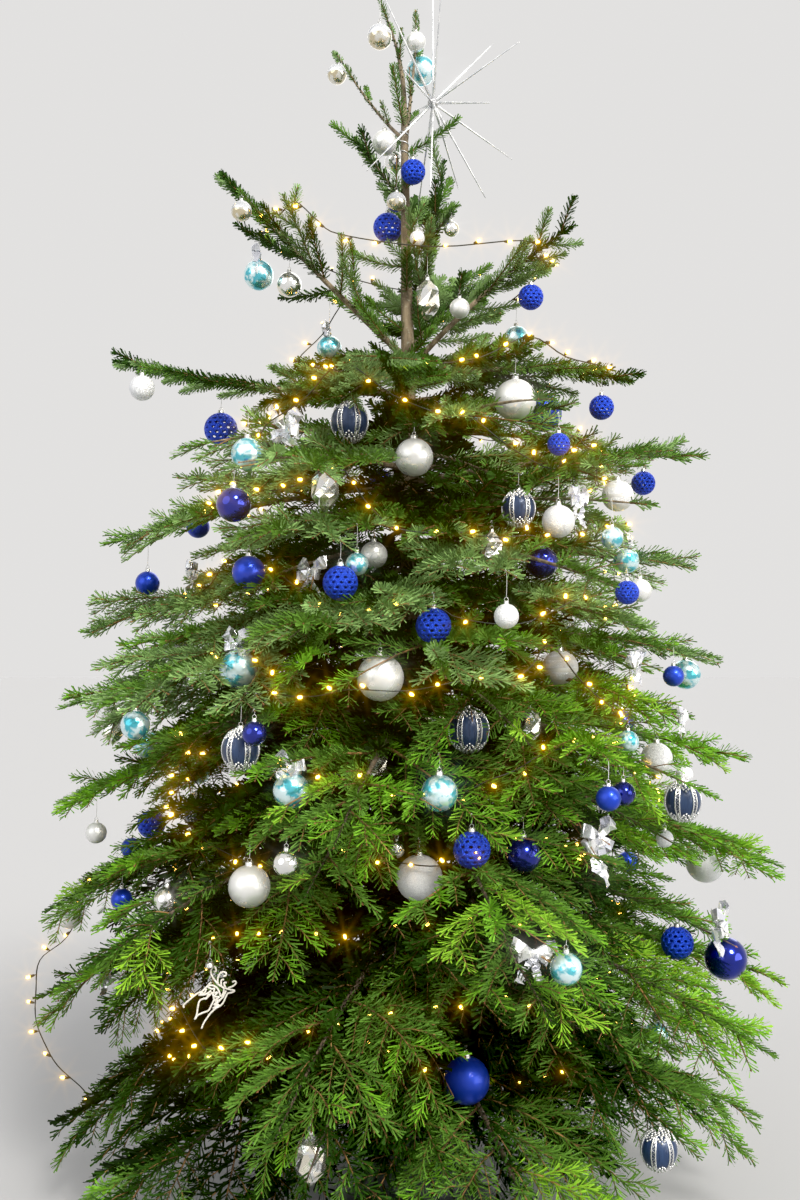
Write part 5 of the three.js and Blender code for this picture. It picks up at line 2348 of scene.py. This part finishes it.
@dataclass
class Lights:
    """A string of small warm lamps, wound round the crown from the top down."""

    foliage: Foliage
    spacing: float = 58
    cable: float = 1.3
    highest: float = 2110
    furthest_step: float = 400
    furthest_twig: float = 130
    lowest: float = 230
    turns: float = 11.5
    crowding: float = 0.78
    stride: float = 120
    depth_share: float = 0.84
    hidden_share: float = 0.5
    hidden_below: float = 720
    hidden_sector: Pair = (-118.0, 5.0)
    lamp: tuple[Pair, ...] = ((0, 0), (2.3, 0.6), (2.7, 3.5), (2.0, 7.5), (0, 9))
    socket: tuple[Pair, ...] = ((0, -9), (2.1, -8), (2.9, -3), (2.9, 0.8), (0, 0.8))
    stub: float = 12
    sag: float = 0.05
    loop: tuple[Pair, ...] = (
        (104, 868), (84, 905), (66, 938), (40, 960), (36, 990), (36, 1020), (46, 1046), (58, 1066),
        (80, 1086), (94, 1100), (108, 1090),
    )
    loop_depth: float = 2420

    def anchors(self) -> list[Array]:
        """Finds the twigs that carry the cable.

        Returns:
            Points on them, one after another, in runs that leave out the widest gaps.
        """
        spots, _ = self.foliage.points()
        tree = KDTree(len(spots))
        for number, spot in enumerate(spots):
            tree.insert(spot, number)
        tree.balance()
        heights, out = spots[:, 2], np.hypot(spots[:, 0], spots[:, 1])
        levels = np.arange(self.lowest - 100, self.highest + 100, 40)
        reach = np.array([np.percentile(out[np.abs(heights - level) < 60], 92) if
                          (np.abs(heights - level) < 60).sum() > 5 else 60 for level in levels])
        angle, found = 0.4, []
        last = 2 * pi * self.turns
        while angle < last:
            height = mix(self.highest, self.lowest, (angle / last) ** self.crowding)
            turn = degrees(atan2(sin(angle), cos(angle)))
            hidden = height < self.hidden_below and self.hidden_sector[0] < turn < self.hidden_sector[1]
            share = self.hidden_share if hidden else self.depth_share
            radius = float(np.interp(height, levels, reach)) * share
            wobble = 0.09 * sin(2.3 * angle) * radius
            target = (radius + wobble) * level_way(angle) + UP * (height + 26 * sin(3.1 * angle))
            spot, _, distance = tree.find(target)
            if distance < self.furthest_twig:
                found.append(np.array(spot) + UP * (2.4 + self.cable))
            angle += self.stride / max(radius, 110)
        runs = [[found[0]]]
        for here, there in zip(found, found[1:]):
            if norm(there - here) > self.furthest_step:
                runs.append([])
            runs[-1].append(there)
        return [np.array(run) for run in runs if len(run) > 3]

    def route(self, anchors: Array, balls: Sequence[Hung]) -> Array:
        """The cable's line: it sags between twigs and passes round what hangs there.

        Args:
            anchors: points on the twigs that carry it.
            balls: the ornaments.

        Returns:
            The points of the line.
        """
        points = [anchors[0]]
        for here, there in zip(anchors, anchors[1:]):
            step = float(norm(there - here))
            if step >= 1:
                points += [mix(here, there, 0.5) - UP * self.sag * step, there]
        path = smooth_path(points, 4)
        for ball in balls:
            if ball.kind is not Kind.BOW:
                offset, clear = path - ball.centre, ball.radius + 3
                inside = norm(offset, axis=1) < clear
                path[inside] = ball.centre + unit(offset[inside]) * clear
        return path

    def build(self, hung: Sequence[Hung]) -> None:
        """Makes the cable and its lamps."""
        view = View()
        routes = [self.route(run, hung) for run in self.anchors()]
        routes.append(smooth_path([view.point(u, v, self.loop_depth) for u, v in self.loop], 5))
        cable, sockets, lamps = Mesh("light_cable"), Mesh("light_sockets"), Mesh("light_lamps")
        random = Seeded(31)
        for path in routes:
            cable.add(*tube(path, self.cable, 4))
            travelled = np.concatenate([[0], np.cumsum(norm(np.diff(path, axis=0), axis=1))])
            LOG.info("light string of %.1f m", travelled[-1] * MM)
            for along in np.arange(self.spacing / 2, travelled[-1], self.spacing):
                spot = np.array([np.interp(along, travelled, path[:, axis]) for axis in range(3)])
                outward = unit(spot * vec(1, 1, 0) + vec(1e-6, 0, 0))
                spin = 2 * pi * random.number()
                direction = unit(outward * 0.9 + level_way(spin) * 0.7 + UP * (1.2 * random.number() - 0.45))
                if any(norm(spot + direction * 14 - ball.centre) < ball.radius + 4 for ball in hung):
                    continue
                axes = axes_along(direction)
                head = spot + direction * self.stub
                cable.add(*tube(np.array([spot, head - direction * 6]), self.cable * 0.8, 3, axes[:, 0]))
                sockets.turn(self.socket, 6, head, axes)
                lamps.turn(self.lamp, 8, head, axes)
        green = Moulding("cable_green", (0.004, 0.01, 0.006), 0.5, 0.05).material()
        cable.build([green])
        sockets.build([green])
        lamps.build([Glow("lamp_glow").material()])


@dataclass
class Studio:
    """A pale floor and soft light."""

    floor_half: float = 45
    aim: Triple = (0.0, 0.0, 1.1)
    sky: float = 0.8
    contrast: float = 0.7
    halos: ClassVar[dict[str, dict[str, Any]]] = {
        "STREAKS": {"Threshold": 3.0, "Strength": 0.15, "Saturation": 1.1, "Streaks": 8,
                    "Streaks Angle": 0.2, "Iterations": 2, "Fade": 0.82, "Color Modulation": 0.0},
        "BLOOM": {"Threshold": 1.15, "Strength": 1.0, "Saturation": 1.3, "Size": 0.36},
    }

    def build(self) -> None:
        """Makes all of it."""
        self.floor()
        self.lights()
        self.glow()

    def floor(self) -> None:
        """A wide pale floor."""
        mesh = bpy.data.meshes.new("floor")
        half = self.floor_half
        mesh.from_pydata([(-half, -half, 0), (half, -half, 0), (half, half, 0), (-half, half, 0)], [],
                         [(0, 1, 2, 3)])
        graph = Graph("pale_floor")
        mesh.materials.append(graph.surface(Base_Color=(0.402, 0.406, 0.416), Specular_IOR_Level=0.0,
                                            Roughness=0.8 + 0.1 * graph.noise(3)))
        floor = linked("floor", mesh)

    def lights(self) -> None:
        """Four soft suns, the strongest from the upper right, and a pale sky."""
        self.sun("key", (1.7, -3.2, 4.5), 18, 3.7, (1.0, 0.96, 0.9))
        self.sun("fill", (-3.2, -3.0, 3.0), 50, 0.7, (0.92, 0.96, 1.0))
        self.sun("window", (3.7, -2.3, 1.5), 45, 1.9, (1.0, 0.97, 0.9))
        self.sun("back", (0.8, 3.8, 3.2), 50, 0.9, (1.0, 0.97, 0.93))
        world = bpy.data.worlds.new("pale_sky")
        world.use_nodes = True
        background = world.node_tree.nodes["Background"]
        background.inputs["Color"].default_value = (0.95, 0.94, 0.93, 1)
        background.inputs["Strength"].default_value = self.sky
        bpy.context.scene.world = world
        bpy.context.scene.view_settings.view_transform = "Standard"

    def glow(self) -> None:
        """A small halo round what is brighter than white, as a lens gives it."""
        scene = bpy.context.scene
        scene.use_nodes = True
        tree = scene.node_tree
        tree.nodes.clear()
        layers = tree.nodes.new("CompositorNodeRLayers")
        last = layers.outputs["Image"]
        for kind, inputs in self.halos.items():
            glare = tree.nodes.new("CompositorNodeGlare")
            glare.glare_type = kind
            for name, given in inputs.items():
                glare.inputs[name].default_value = given
            tree.links.new(last, glare.inputs["Image"])
            last = glare.outputs["Image"]
        contrast = tree.nodes.new("CompositorNodeBrightContrast")
        contrast.inputs["Contrast"].default_value = self.contrast
        tree.links.new(last, contrast.inputs["Image"])
        tree.links.new(contrast.outputs["Image"], tree.nodes.new("CompositorNodeComposite").inputs["Image"])

    def sun(self, name: str, place: Triple, width: float, power: float, colour: Colour) -> None:
        """One soft sun that shines at the middle of the crown.

        Args:
            name: its name.
            place: where its light comes from, in metres.
            width: how wide it looks, in degrees.
            power: its strength.
            colour: its colour.
        """
        data = bpy.data.lights.new(name, "SUN")
        data.angle = radians(width)
        data.energy = power
        data.color = colour
        lamp = linked(name, data)
        lamp.location = place
        lamp.rotation_euler = aimed(place, self.aim)


def aimed(place: Triple, aim: Triple) -> Triple:
    """The rotation of a lamp at a place that shines at an aim."""
    line = np.array(aim, float) - np.array(place, float)
    level = hypot(line[0], line[1])
    return (pi / 2 + atan2(line[2], level), 0.0, atan2(line[1], line[0]) - pi / 2)


def main() -> None:
    """Builds the tree piece by piece."""
    logging.basicConfig(level=logging.INFO, format="%(message)s")
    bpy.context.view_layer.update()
    bark = Bark("bark").material()
    wood = TwigWood("twig_wood").material()
    greens = {green: finish.material() for green, finish in GREENS.items()}
    whorls = Whorls()
    foliage = Foliage(TwigRule())
    limbs = whorls.limbs()
    foliage.grow(limbs, foliage.rule.seed)
    foliage.grow(whorls.between(), foliage.rule.seed + len(limbs))
    foliage.grow(whorls.inner(), foliage.rule.seed + 2 * len(limbs))
    foliage.grow_shoots(limbs)
    orders = [sum(twig.order == order for twig in foliage.twigs) for order in range(3)]
    LOG.info("twigs by order: %s, length %.0f m", orders, sum(t.length for t in foliage.twigs) * MM)

    trimming = Trimming(foliage)
    trimming.hang_all()
    for one in trimming.hung:
        foliage.make_room(one.centre, one.radius)
    foliage.settle()
    trimming.build()
    foliage.build_wood(bark, wood)
    foliage.build_buds(TwigWood("bud_brown", (0.3, 0.13, 0.05), (0.16, 0.06, 0.025)).material())
    NeedleRule().dress(foliage, greens, trimming.hung)
    timber = Wood()
    timber.trunk(bark)
    for number, limb in enumerate(one for one in limbs if one.share > 0):
        timber.bough(limb, number, bark)
    plastic = Moulding("stand_plastic", (0.012, 0.016, 0.014), 0.42, 0.2).material()
    steel = Metal("screw_steel", (0.42, 0.42, 0.43), None, 1.0, 0.32, 90).material()
    red = Moulding("screw_red", (0.42, 0.008, 0.008), 0.35, 0.1).material()
    Stand().build(plastic, steel, red)
    silver = Metal("star_silver", (0.66, 0.67, 0.69), (0.88, 0.88, 0.88), 0.7, 0.25, 60).material()
    Starburst().build(silver, Glitter("star_glitter", (0.5, 0.5, 0.52), (0.9, 0.9, 0.9)).material())
    Lights(foliage).build(trimming.hung)
    Studio().build()
    View().camera()


if __name__ == "__main__":
    main()
